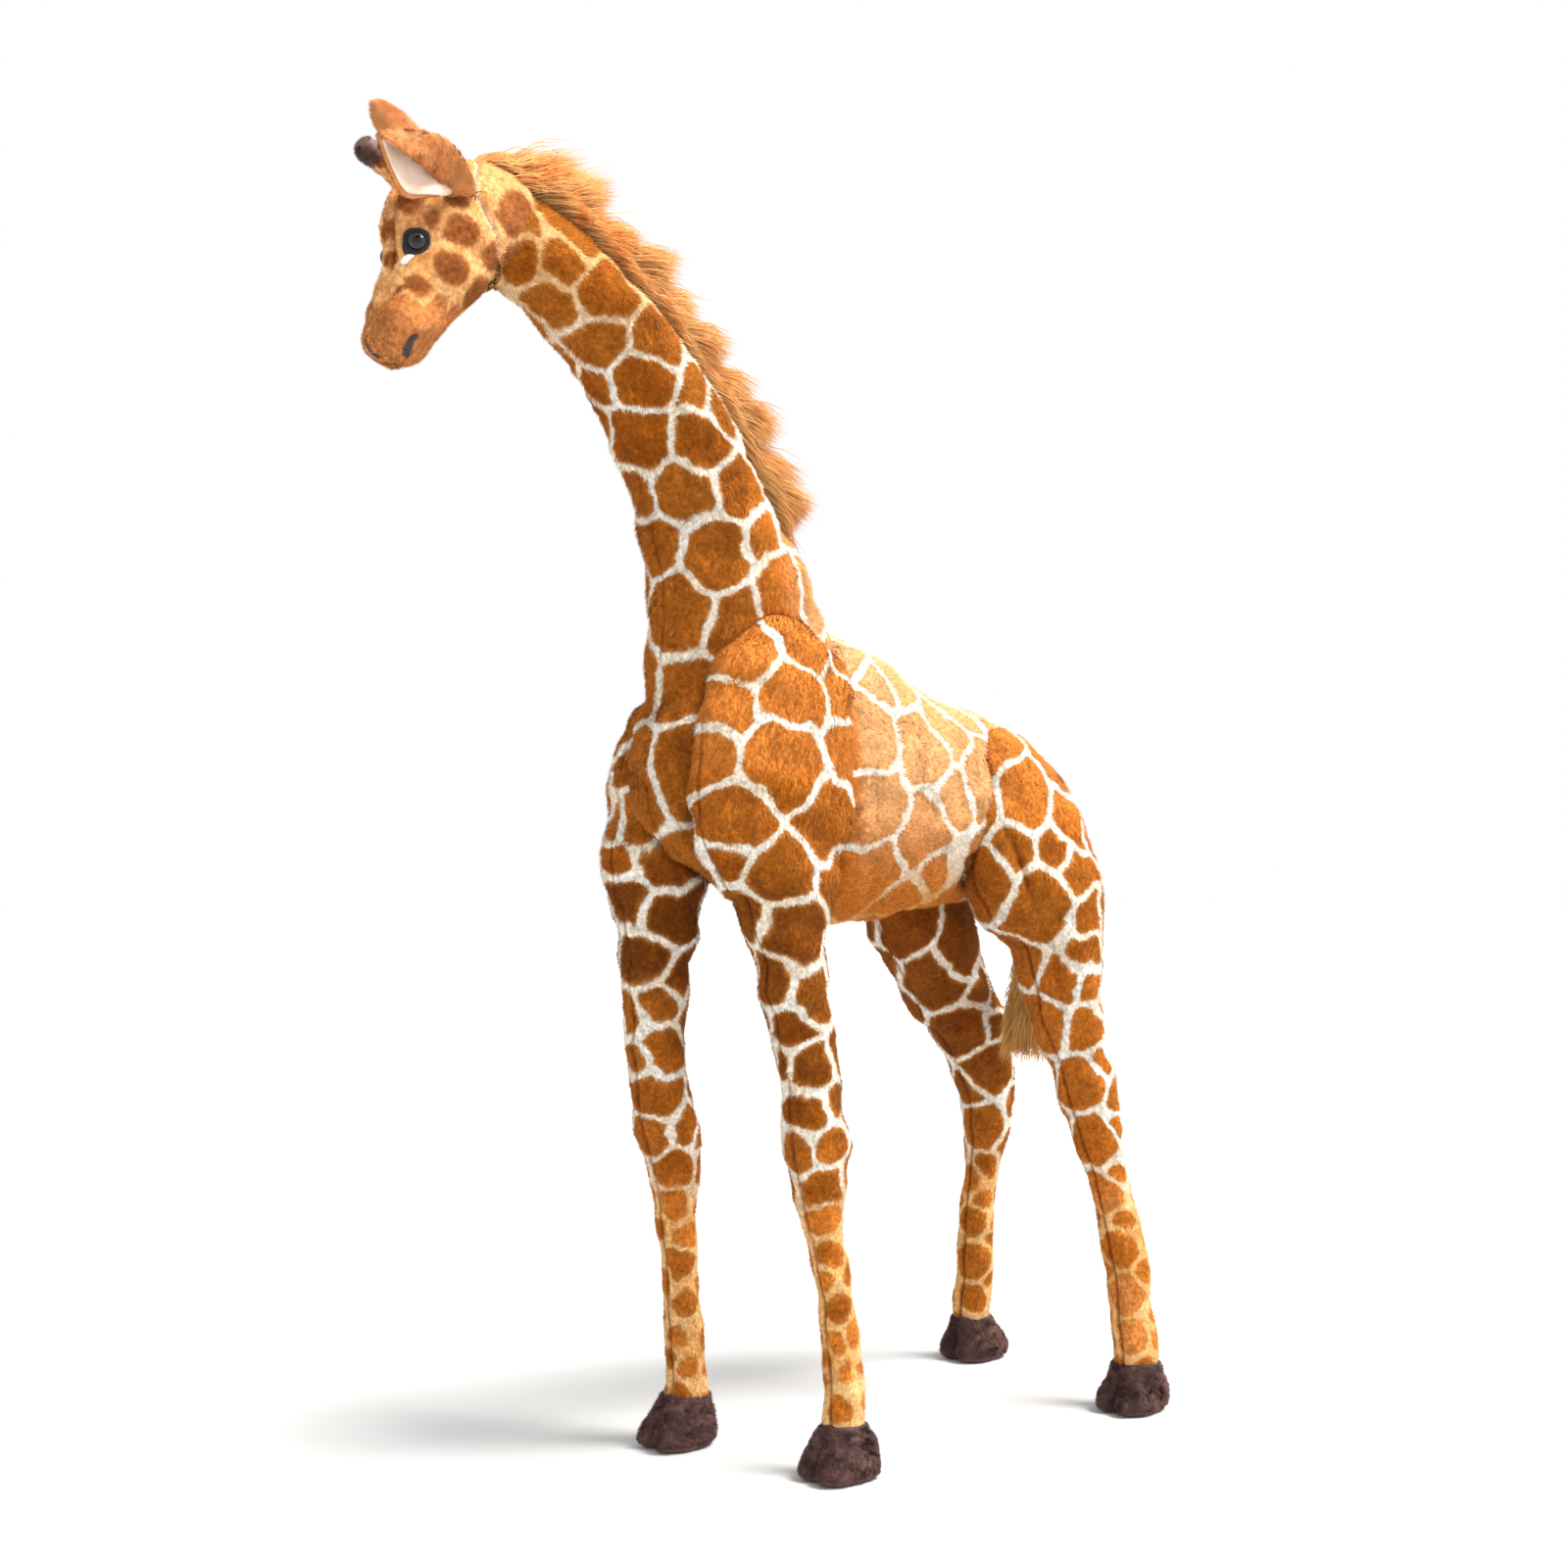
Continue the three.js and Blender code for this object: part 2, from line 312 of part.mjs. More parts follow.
// ---- head -------------------------------------------------------------------------------------------------------------
{
  const head = new THREE.Group();
  const hc = P(0, ...HEAD_PIVOT);
  head.position.copy(hc);
  giraffe.add(head);
  const H = (x, s, z) => new THREE.Vector3(x, -s, z);
  const at = (x, s, z) => new THREE.Vector3(x, -s, z);
  const shifted = (m) => { const g = geometryOf(m); g.translate(-hc.x, -hc.y, -hc.z); return solid(g); };
  // room for the neck's end over the nod
  const neckRoom = (r) => {
    let s = prism(arc(HEAD_PIVOT, r, 0, 348, 12), -60, 60);
    for (const k of [-20, -10, 0, 10, 20, 29]) {
      const a = neckDir + rad(k), d = [Math.cos(a), Math.sin(a)], n = [-d[1], d[0]], c = HEAD_PIVOT, q = (u, v) => [c[0] + u * d[0] + v * n[0], c[1] + u * d[1] + v * n[1]];
      // the neck's top passes the axis a little higher than its round end
      s = s.add(prism([q(-80, -r), q(0, -r), q(0, r + 2.4), q(-80, r + 2.4)], -60, 60));
    }
    return shifted(s);
  };
  const skull = (d, cap = 0) => loft(HEAD, 10, 12, { place: H, grow: d, cap: [0, cap] });
  const eyeAt = (side) => at(side * 16.6, 59, -19.4), eyeDir = (side) => new THREE.Vector3(side * 0.78, -0.62, 0.08).normalize();
  let skin = skull(0).subtract(skull(-SKIN, SKIN)).subtract(neckRoom(NOD_R + 0.8));
  let fill = skull(-SKIN - GAP, SKIN + GAP).subtract(neckRoom(NOD_R + 0.8 + GAP));
  const wire = [[29.8, -7], [36, -18], [44, -36], [52, -56]].map(([s, z]) => at(0, s, z));
  fill = fill.subtract(solid(bar([at(0, 18, 4), ...wire, at(0, 54, -61)], SPINE_R + BORE, 6, 8)));
  for (const side of [1, -1]) {
    const c = eyeAt(side), d = eyeDir(side), along = (t) => c.clone().addScaledVector(d, t);
    skin = skin.subtract(solid(turned([[0, -12], [2.4, -12], [2.4, 8], [0, 8]], c, d, 8)));
    fill = fill.subtract(solid(turned([[0, -13], [7, -13], [7, 6], [0, 6]], c, d, 10)));
    const name = side > 0 ? 'left' : 'right';
    // domed eye on a stem through the felt and the skin, held by a washer inside
    const dome = [[0, -10], [1.9, -10], [1.9, 1.6], [5.4, 1.6]];
    for (let k = 1; k < 4; k++) dome.push([5.4 * Math.cos(k * Math.PI / 8), 1.6 + 4.2 * Math.sin(k * Math.PI / 8)]);
    dome.push([0, 5.8]);
    add(`eye_${name}`, turned(dome, c, d, 12), EYE, head);
    add(`eye_washer_${name}`, turned([[2.2, -6.6], [6, -6.6], [6, -5.2], [2.2, -5.2], [2.2, -6.6]], c, d, 10), WASHER, head);
    add(`eye_felt_${name}`, turned([[2.2, 0.35], [7.6, 0.35], [7.6, 1.25], [2.2, 1.25], [2.2, 0.35]], c, d, 12), FELT_DARK, head);
    // pale felt corner under the front of the eye
    const corner = new THREE.Shape([[-2.6, 0], [2.6, 0], [1.4, 7.5], [-1.2, 6.5]].map(([u, v]) => new THREE.Vector2(u, v)));
    const cg = new THREE.ExtrudeGeometry(corner, { depth: 0.9, bevelEnabled: false });
    const down = new THREE.Vector3(0, -0.55, -0.84); down.addScaledVector(d, -down.dot(d)).normalize();
    const across = new THREE.Vector3().crossVectors(down, d);
    cg.applyMatrix4(new THREE.Matrix4().makeBasis(across, down, d.clone()));
    const o = along(0.35).addScaledVector(down, 8.0);
    cg.translate(o.x, o.y, o.z);
    let cs = solid(cg).subtract(skull(GAP));
    add(`eye_corner_${name}`, cs, FELT_WHITE, head);
  }
  add('head_skin', skin, HEADFUR, head);
  add('head_stuffing', fill, FILL, head);
  add('head_wire', bar(wire, SPINE_R, 6, 6), STEEL, head);

  // stitched nostril patches, laid on the skin
  const shell = skull(1.3).subtract(skull(GAP));
  for (const side of [1, -1]) {
    const c = at(side * 17, 66, -76);
    const bx = new THREE.BoxGeometry(14, 4, 10);
    bx.applyMatrix4(new THREE.Matrix4().makeRotationFromEuler(new THREE.Euler(0.5, side * 0.2, side * 0.95)));
    bx.translate(c.x, c.y, c.z);
    add(`nostril_${side > 0 ? 'left' : 'right'}`, solid(bx).intersect(shell), FELT_DARK, head);
  }

  // horns: a plush stalk with a dark tufted knob
  const headRoom = skull(GAP);
  for (const [name, base, tip] of [['left', [10.5, 52, 6], [11.5, 87, 25]], ['right', [-10.5, 48, 10], [-9.5, 54, 36.5]]]) {
    const b = at(...base), t = at(...tip), d = t.clone().sub(b), L = d.length();
    add(`horn_${name}`, solid(turned([[0, 0], [6.6, 0], [5.6, L * 0.5], [5.4, L - 7], [0, L - 7]], b, d, 10)).subtract(headRoom), HEADFUR, head);
    add(`horn_tip_${name}`, turned([[0, L - 6.7], [6.2, L - 6.7], [7.2, L - 2], [6.6, L + 3], [3.6, L + 5.6], [0, L + 6.2]], b, d, 10), TIP, head);
  }

  // ears: a plush back and a smooth lining sewn round the edge; the left lies forward, the right is pricked up
  const outline = [[0, -5], [12, -9], [28, -15], [44, -20], [56, -19], [66, -11], [74, 0], [75, 4], [66, 9], [50, 14], [32, 16], [14, 12], [0, 6]];
  for (const [name, side, root, tip, wide] of [['left', 1, [31.4, 29, 15], [52, 101, 21.5], [0, 0, 1]], ['right', -1, [31.4, 27, 15], [52, 41, 78], [0, -1, 0.25]]]) {
    const base = at(side * root[0], root[1], root[2]), along = at(side * tip[0], tip[1], tip[2]).sub(base), L = along.length();
    along.normalize();
    const up = at(...wide); up.addScaledVector(along, -up.dot(along)).normalize();
    const out = new THREE.Vector3().crossVectors(along, up); if (out.x * side < 0) out.negate();
    const put = (pts, depth, off) => {
      const g = new THREE.ExtrudeGeometry(new THREE.Shape(pts.map(([u, v]) => new THREE.Vector2(u * L / 75, v))), { depth, bevelEnabled: false });
      g.applyMatrix4(new THREE.Matrix4().makeBasis(along, up, out));
      g.translate(base.x + out.x * off, base.y + out.y * off, base.z + out.z * off);
      return solid(g);
    };
    add(`ear_${name}_back`, put(outline, 2.6, 0), HEADFUR, head);
    add(`ear_${name}_lining`, put(outline.map(([u, v]) => [9 + u * 0.84, v * 0.8]), 1.4, 2.6 + GAP), LINING, head);
  }
}

// ---- legs -------------------------------------------------------------------------------------------------------------
for (const [name, leg] of Object.entries(LEGS)) {
  const side = leg.side, clipper = (x) => block(side > 0 ? -60 : -x, side > 0 ? x : 60, -300, 400, leg.clip, 600);
  const rows = leg.rows, last = rows[rows.length - 1];
  const cutBelow = (z) => block(-200, 200, -400, 500, -60, z);
  const extended = [...rows, [last[0], last[1], HOOF_TOP - 22, last[3], last[4]]];
  const N = 13, SEG = 10;
  const outer = loft(extended, N, SEG, { side }).subtract(clipper(PAD_IN)).subtract(cutBelow(HOOF_TOP + GAP));
  const inner = loft(extended, N, SEG, { side, grow: -SKIN, cap: [SKIN, 0] }).subtract(clipper(PAD_IN + SKIN));
  const [hs, hz] = leg.hip;
  const wireHole = solid(crossbar(side > 0 ? 20 : -44, side > 0 ? 44 : -20, hs, hz, 3.0, 8));
  add(`leg_${name}_skin`, outer.subtract(inner).subtract(wireHole), PLUSH);

  // wire: from the hip axis down the middle of the leg, ending in the hoof
  const down = resample(rows, 9).slice(2).filter((r) => r[2] < hz - 60);
  const [hx, hf] = leg.hoof;
  const path = [P(side * (PAD_IN + 4.5), hs, hz), P(side * (PAD_IN + 11), hs, hz - 12), P(side * (PAD_IN + 13), hs, hz - 32),
    ...down.map((r) => P(side * r[0], r[1], r[2])), P(side * hx, hf, 9)];
  add(`leg_${name}_wire`, bar(path, WIRE_R, 6, 18), STEEL);
  const bore = solid(bar([P(side * (PAD_IN - 2), hs, hz + 12), ...path, P(side * hx, hf + 1, 5)], WIRE_R + BORE + 1.4, 5, 20));
  const g = SKIN + GAP;
  add(`leg_${name}_stuffing`, loft(extended, N, SEG, { side, grow: -g, cap: [g, 0] }).subtract(clipper(PAD_IN + g)).subtract(cutBelow(HOOF_TOP + GAP)).subtract(bore), FILL);

  // hoof: an open-topped plush shell with a flat sole, wider at the toe
  const rim = [last[0], last[1]], mix = (t) => [hx + (rim[0] - hx) * t, hf + (rim[1] - hf) * t];
  const hoofRows = [[hx, hf, -6, 18, 22], [hx, hf, 4, 20.5, 25], [hx, hf, 10, 20.5, 25], [...mix(0.4), 18, 18, 21], [...mix(0.9), 26, 15.8, 16.6], [...rim, HOOF_TOP + 8, 15.2, 15.6]];
  const above = (z) => block(-200, 200, -400, 500, z, 200), below = (z) => block(-200, 200, -400, 500, -60, z);
  const hoofLoft = (d) => loft(hoofRows, 7, 10, { side, grow: -d }).subtract(above(HOOF_TOP)).subtract(below(d));
  add(`hoof_${name}`, hoofLoft(0).subtract(loft(hoofRows, 7, 10, { side, grow: -SKIN }).subtract(below(SKIN))), HOOF);
  add(`hoof_${name}_stuffing`, hoofLoft(SKIN + GAP).subtract(solid(bar([P(side * last[0], last[1], 45), P(side * hx, hf, 5)], 6, 6, 1))), FILL);
}

// ---- tail -------------------------------------------------------------------------------------------------------------
{
  const tube = [[0,-129,440,5.5,5.5],[0,-131,425,6,6],[0,-133,400,6,6],[0,-133.5,360,6,6],[0,-131,325,6,6]];
  add('tail_tube', loft(tube, 6, 8), PLUSH);
  add('tail_tuft', loft([[0,-130.8,324.4,5,5],[0,-130,312,11,10],[0,-127,285,14,12],[0,-123,255,13,11],[0,-121,238,9,8],[0,-120.5,231,3,3]], 8, 8), MANE);
}

export default giraffe;
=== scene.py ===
import bpy
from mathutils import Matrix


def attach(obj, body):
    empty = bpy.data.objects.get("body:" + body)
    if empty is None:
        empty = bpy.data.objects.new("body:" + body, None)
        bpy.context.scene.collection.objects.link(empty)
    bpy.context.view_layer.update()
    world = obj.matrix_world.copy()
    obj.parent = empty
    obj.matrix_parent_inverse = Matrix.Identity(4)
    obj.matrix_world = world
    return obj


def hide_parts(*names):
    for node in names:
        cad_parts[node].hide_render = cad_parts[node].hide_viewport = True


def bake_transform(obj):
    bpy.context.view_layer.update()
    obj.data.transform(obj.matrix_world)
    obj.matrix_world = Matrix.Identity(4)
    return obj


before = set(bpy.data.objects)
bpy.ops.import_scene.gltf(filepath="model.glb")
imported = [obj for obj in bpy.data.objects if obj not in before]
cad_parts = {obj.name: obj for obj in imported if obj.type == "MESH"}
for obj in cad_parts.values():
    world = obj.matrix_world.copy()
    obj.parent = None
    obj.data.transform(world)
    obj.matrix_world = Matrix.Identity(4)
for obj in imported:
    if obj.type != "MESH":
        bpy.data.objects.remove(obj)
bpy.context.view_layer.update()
import bpy, bmesh, math
import numpy as np
from mathutils import Vector, Matrix
from mathutils.kdtree import KDTree
from mathutils.bvhtree import BVHTree

# Looks of the standing plush giraffe. All shapes below are worked out in millimetres in the row frame (X = the toy's left,
# -Y = forward, Z = up) and turned into metres when a mesh is made. "Station" is the distance forward, Y = 133.364 - station.
SH = 133.364
PILE = 1.0


# ---- small tools --------------------------------------------------------------------------------------------------------
def unit(v):
    return v / np.maximum(np.linalg.norm(v, axis=-1, keepdims=True), 1e-9)


def smooth(a, b, x):
    t = np.clip((x - a) / (b - a), 0, 1)
    return t * t * (3 - 2 * t)


def field(seed, scale, n=12):
    # smooth random field of unit spread
    r = np.random.default_rng(seed)
    k = unit(r.normal(size=(n, 3))) * (2 * np.pi / scale) * r.uniform(0.6, 1.5, (n, 1))
    ph = r.uniform(0, 2 * np.pi, n)
    return lambda p: np.sin(p @ k.T + ph).sum(1) * math.sqrt(2 / n)


def resample(P, n):
    # cubic through the rows, even along the path
    P = np.asarray(P, float)
    m = len(P)
    t = np.concatenate([[0], np.cumsum(np.linalg.norm(np.diff(P[:, :3], axis=0), axis=1))])
    h = np.diff(t)
    s = np.diff(P, axis=0) / h[:, None]
    d = np.zeros_like(P)
    d[0], d[-1] = s[0], s[-1]
    for i in range(1, m - 1):
        d[i] = (s[i - 1] * h[i] + s[i] * h[i - 1]) / (h[i] + h[i - 1])
    x = np.linspace(0, t[-1], n)
    i = np.clip(np.searchsorted(t, x) - 1, 0, m - 2)
    u = ((x - t[i]) / h[i])[:, None]
    H = h[i][:, None]
    return (2 * u**3 - 3 * u**2 + 1) * P[i] + (u**3 - 2 * u**2 + u) * H * d[i] + (-2 * u**3 + 3 * u**2) * P[i + 1] + (u**3 - u**2) * H * d[i + 1]


def frames(C):
    T = unit(np.gradient(C, axis=0))
    X = np.array([1.0, 0, 0])
    U = unit(X - T * (T @ X)[:, None])
    return T, U, np.cross(T, U)


def triangles(quads, tris):
    out = []
    if len(quads):
        out += [quads[:, [0, 1, 2]], quads[:, [0, 2, 3]]]
    if len(tris):
        out.append(tris)
    return np.concatenate(out)


def normals(co, tri):
    n = np.zeros_like(co)
    a, b, c = co[tri[:, 0]], co[tri[:, 1]], co[tri[:, 2]]
    f = np.cross(b - a, c - a)
    for k in range(3):
        np.add.at(n, tri[:, k], f)
    return unit(n)


class Skin:
    """a closed surface: corner points, four-sided and three-sided faces, and the way the pile lies"""

    def __init__(self, co, quads, tris, flow):
        self.co, self.quads, self.tris, self.flow = co, np.asarray(quads, int).reshape(-1, 4), np.asarray(tris, int).reshape(-1, 3), flow
        t = triangles(self.quads, self.tris)
        a, b, c = co[t[:, 0]], co[t[:, 1]], co[t[:, 2]]
        if np.einsum("ij,ij->i", a, np.cross(b, c)).sum() < 0:
            self.quads, self.tris = self.quads[:, ::-1].copy(), self.tris[:, ::-1].copy()
        self.update()
        self.seam = np.zeros(len(co))
        self.bare = np.zeros(len(co))

    def update(self):
        self.tri = triangles(self.quads, self.tris)
        self.n = normals(self.co, self.tri)

    def edges(self):
        t = self.tri
        return np.unique(np.sort(np.concatenate([t[:, [0, 1]], t[:, [1, 2]], t[:, [2, 0]]]), axis=1), axis=0)

    def relax(self, weight, rounds, lam=0.5):
        e = self.edges()
        deg = np.zeros(len(self.co))
        np.add.at(deg, e[:, 0], 1)
        np.add.at(deg, e[:, 1], 1)
        w = (weight * lam)[:, None]
        for _ in range(rounds):
            s = np.zeros_like(self.co)
            np.add.at(s, e[:, 0], self.co[e[:, 1]])
            np.add.at(s, e[:, 1], self.co[e[:, 0]])
            self.co = self.co + w * (s / deg[:, None] - self.co)
        self.update()


def grid_skin(V, flow, ends=True):
    # closed tube from rings (n, seg, 3)
    n, seg = V.shape[:2]
    i, j = np.meshgrid(np.arange(n - 1), np.arange(seg), indexing="ij")
    a = (i * seg + j).ravel()
    b = (i * seg + (j + 1) % seg).ravel()
    quads = np.stack([a, b, b + seg, a + seg], 1)
    co = V.reshape(-1, 3)
    fl = np.repeat(flow, seg, axis=0) if flow.shape[0] == n else flow
    co = np.concatenate([co, V[0].mean(0)[None], V[-1].mean(0)[None]])
    fl = np.concatenate([fl, flow[:1], flow[-1:]])
    j = np.arange(seg)
    k = (j + 1) % seg
    e = (n - 1) * seg
    tris = np.concatenate([np.stack([np.full(seg, n * seg), k, j], 1), np.stack([np.full(seg, n * seg + 1), e + j, e + k], 1)])
    return Skin(co, quads, tris, fl)


def rings(rows, n, seg, inset=1.2, power=2.0, least=2.0):
    R = resample(rows, n)
    C = R[:, :3]
    T, U, W = frames(C)
    th = np.linspace(0, 2 * np.pi, seg, endpoint=False)
    p = np.broadcast_to(np.asarray(power, float), (n,))[:, None]
    c, s = np.cos(th)[None], np.sin(th)[None]
    c = np.sign(c) * np.abs(c) ** (2 / p)
    s = np.sign(s) * np.abs(s) ** (2 / p)
    k = R[:, 5:6] if R.shape[1] > 5 else np.zeros((n, 1))
    a = np.maximum(R[:, 3:4] - inset, least)
    b = np.maximum(R[:, 4:5] - inset, least)
    V = C[:, None] + (a * c * (1 - k * s))[..., None] * U[:, None] + (b * s)[..., None] * W[:, None]
    return V, R, T, U, W, th


def place(rows, side=1):
    return [[side * r[0], SH - r[1], *r[2:]] for r in rows]


# ---- meshes -------------------------------------------------------------------------------------------------------------
def new_object(name, co, quads, tris, mat, attrs=None, vnormals=None, flat=False):
    """co in millimetres"""
    quads, tris = np.asarray(quads, np.int32).reshape(-1, 4), np.asarray(tris, np.int32).reshape(-1, 3)
    me = bpy.data.meshes.new(name)
    me.vertices.add(len(co))
    me.vertices.foreach_set("co", (np.asarray(co) * 0.001).astype(np.float32).ravel())
    loops = np.concatenate([quads.ravel(), tris.ravel()])
    me.loops.add(len(loops))
    me.loops.foreach_set("vertex_index", loops)
    nq, nt = len(quads), len(tris)
    me.polygons.add(nq + nt)
    start = np.concatenate([np.arange(nq) * 4, nq * 4 + np.arange(nt) * 3]).astype(np.int32)
    me.polygons.foreach_set("loop_start", start)
    me.update(calc_edges=True)
    me.polygons.foreach_set("use_smooth", np.full(nq + nt, not flat))
    for key, v in (attrs or {}).items():
        a = me.attributes.new(key, "FLOAT", "POINT")
        a.data.foreach_set("value", np.asarray(v, np.float32))
    me.materials.append(mat)
    if vnormals is not None:
        me.normals_split_custom_set_from_vertices(vnormals.astype(np.float32))
    me.validate()
    ob = bpy.data.objects.new(name, me)
    bpy.context.scene.collection.objects.link(ob)
    return ob


def outward(ob):
    # every face turned to the outside
    bm = bmesh.new()
    bm.from_mesh(ob.data)
    bmesh.ops.recalc_face_normals(bm, faces=bm.faces)
    bm.to_mesh(ob.data)
    bm.free()


def read_back(ob):
    dg = bpy.context.evaluated_depsgraph_get()
    e = ob.evaluated_get(dg)
    me = e.to_mesh()
    co = np.empty(len(me.vertices) * 3, np.float32)
    me.vertices.foreach_get("co", co)
    ls = np.empty(len(me.polygons), np.int32)
    me.polygons.foreach_get("loop_start", ls)
    lt = np.empty(len(me.polygons), np.int32)
    me.polygons.foreach_get("loop_total", lt)
    vi = np.empty(len(me.loops), np.int32)
    me.loops.foreach_get("vertex_index", vi)
    q = ls[lt == 4]
    t = ls[lt == 3]
    quads = np.stack([vi[q + k] for k in range(4)], 1) if len(q) else np.zeros((0, 4), int)
    tris = np.stack([vi[t + k] for k in range(3)], 1) if len(t) else np.zeros((0, 3), int)
    e.to_mesh_clear()
    return co.reshape(-1, 3).astype(float) * 1000, quads.astype(int), tris.astype(int)


def drop(ob):
    me = ob.data
    bpy.data.objects.remove(ob)
    bpy.data.meshes.remove(me)


def voxelled(parts, size, mat):
    # one watertight surface round several closed ones
    co, quads, tris, at = [], [], [], 0
    for s in parts:
        co.append(s.co)
        quads.append(s.quads + at)
        tris.append(s.tris + at)
        at += len(s.co)
    ob = new_object("work_surface", np.concatenate(co), np.concatenate(quads), np.concatenate(tris), mat)
    m = ob.modifiers.new("remesh", "REMESH")
    m.mode = "VOXEL"
    m.voxel_size = size * 0.001
    out = read_back(ob)
    drop(ob)
    return out


def nearest(points, query, k=1):
    kd = KDTree(len(points))
    for i, p in enumerate(points):
        kd.insert(p, i)
    kd.balance()
    if k == 1:
        r = [kd.find(q) for q in query]
        return np.array([x[1] for x in r]), np.array([x[2] for x in r])
    r = [kd.find_n(q, k) for q in query]
    return np.array([[x[1] for x in y] for y in r]), np.array([[x[2] for x in y] for y in r])


# ---- the coat: seeds of the printed patches, station order [left, station, height, radius] ------------------------------
NECK_SEEDS = [[27,349,737,10.9],[21,346,717,11.1],[5,354,725,10.2],[27,320,722,13.8],[20,309,744,17.2],[15,316,698,13.1],[29,287,709,14.4],[19,289,680,14.5],[30,253,688,14.9],[26,260,661,16.8],[3,278,659,9.6],[32,225,661,11.4],[13,251,630,18.1],[34,222,632,16.1],[37,195,602,12.2],[26,227,600,17.3],[-3,240,602,9.4],[33,208,565,21.7],[4,230,573,13.6],[43,164,543,19.6],[12,224,528,21.6],[38,196,523,18.0],[19,221,486,15.6],[28,203,653,8.9],[40,180,578,8.7],[34,131,545,12.4]]
TORSO_SEEDS = [[46,83,493,14.2],[35,98,511,12.8],[58,99,461,22.4],[59,57,451,22.5],[43,62,493,12.5],[50,23,465,13.8],[60,95,413,20.7],[59,56,398,20.7],[46,88,368,22.6],[61,28,419,9.7],[48,37,370,8.1],[38,52,356,13.8],[28,-51,473,17.3],[25,-7,483,15.8],[48,-57,449,14.1]]
LEG_SEEDS = {
    "front_left": [[58,201,500,13.8],[63,160,509,15.3],[70,181,478,22.0],[56,221,470,11.8],[71,189,438,27.1],[52,230,440,14.2],[72,156,404,20.7],[63,216,406,21.0],[70,189,372,19.3],[56,218,380,7.1],[69,144,366,11.2],[68,175,335,19.1],[45,195,347,12.0],[66,137,480,12.9],[68,133,451,12.0],[52,182,307,13.5],[69,163,299,11.4],[58,173,278,11.2],[65,162,253,13.9],[49,170,255,4.7],[63,163,227,12.6],[59,163,201,11.1],[72,149,206,8.4],[70,142,233,8.5],[66,154,180,10.6],[65,149,160,9.4],[66,144,141,7.6],[63,146,121,6.4],[69,139,106,7.0],[65,142,85,5.8],[72,134,67,6.0],[68,140,43,5.8],[72,130,89,5.4]],
    "front_right": [[-33,222,440,9.7],[-18,203,435,16.3],[-24,219,406,17.0],[-41,228,403,7.2],[-38,228,382,8.7],[-16,207,377,15.5],[-38,221,354,11.9],[-19,198,345,17.0],[-36,210,320,15.5],[-25,186,307,9.8],[-32,202,289,10.6],[-49,209,282,7.7],[-33,195,262,13.3],[-47,205,256,6.8],[-40,197,231,12.8],[-32,176,210,8.4],[-46,194,204,11.4],[-39,181,183,10.7],[-44,177,159,9.3],[-44,167,139,6.9],[-47,170,121,9.9],[-47,164,95,7.4],[-55,167,72,6.6],[-49,159,53,6.8],[-55,164,34,5.5]],
    "hind_left": [[47,-13,451,16.8],[54,-3,413,18.4],[71,-30,420,20.6],[71,-21,388,13.5],[82,-54,387,13.3],[51,-6,365,23.2],[79,-39,347,23.7],[88,-75,318,9.8],[86,-66,370,12.5],[89,-76,341,9.7],[78,-69,404,11.1],[51,-51,313,14.3],[77,-61,297,13.4],[61,-62,267,16.8],[85,-79,266,12.9],[88,-82,293,4.9],[77,-82,225,17.4],[80,-94,187,15.8],[79,-105,151,11.1],[88,-112,162,6.2],[86,-113,112,12.7],[90,-117,132,5.8],[91,-117,81,11.3],[93,-117,52,10.6],[86,-95,238,5.7],[89,-106,196,5.9]],
    "hind_right": [[-36,-28,327,16.5],[-23,-77,320,25.9],[-38,-61,292,22.2],[-31,-103,284,7.9],[-44,-98,253,22.6],[-37,-124,256,6.6],[-46,-134,224,18.4],[-66,-128,207,11.7],[-63,-139,179,15.7],[-64,-147,150,9.3],[-77,-141,138,8.2],[-66,-147,124,7.1],[-74,-142,107,10.8],[-75,-145,75,12.4],[-76,-147,49,10.0]],
}
HEAD_SEEDS = [[24,403,729,6.4],[30,390,724,10.8],[27,395,702,9.7],[26,370,713,8.5],[19,373,694,12.2],[22,401,679,8.0],[19,413,690,6.9],[15,422,677,9.1],[19,417,668,4.4],[6,428,670,5.4],[11,421,658,8.0],[19,407,664,5.8],[27,391,740,6.2],[12,412,739,7.9],[-2,417,724,6.5],[5,418,708,5.0]]

_wx, _wy, _wz = field(31, 30), field(32, 30), field(33, 30)
_vx, _vy, _vz = field(34, 8), field(35, 8), field(36, 8)


def warped(p, amount=1.0):
    big = np.stack([_wx(p), _wy(p), _wz(p)], 1) * 1.35
    small = np.stack([_vx(p), _vy(p), _vz(p)], 1) * 0.38
    return p + (big + small) * amount


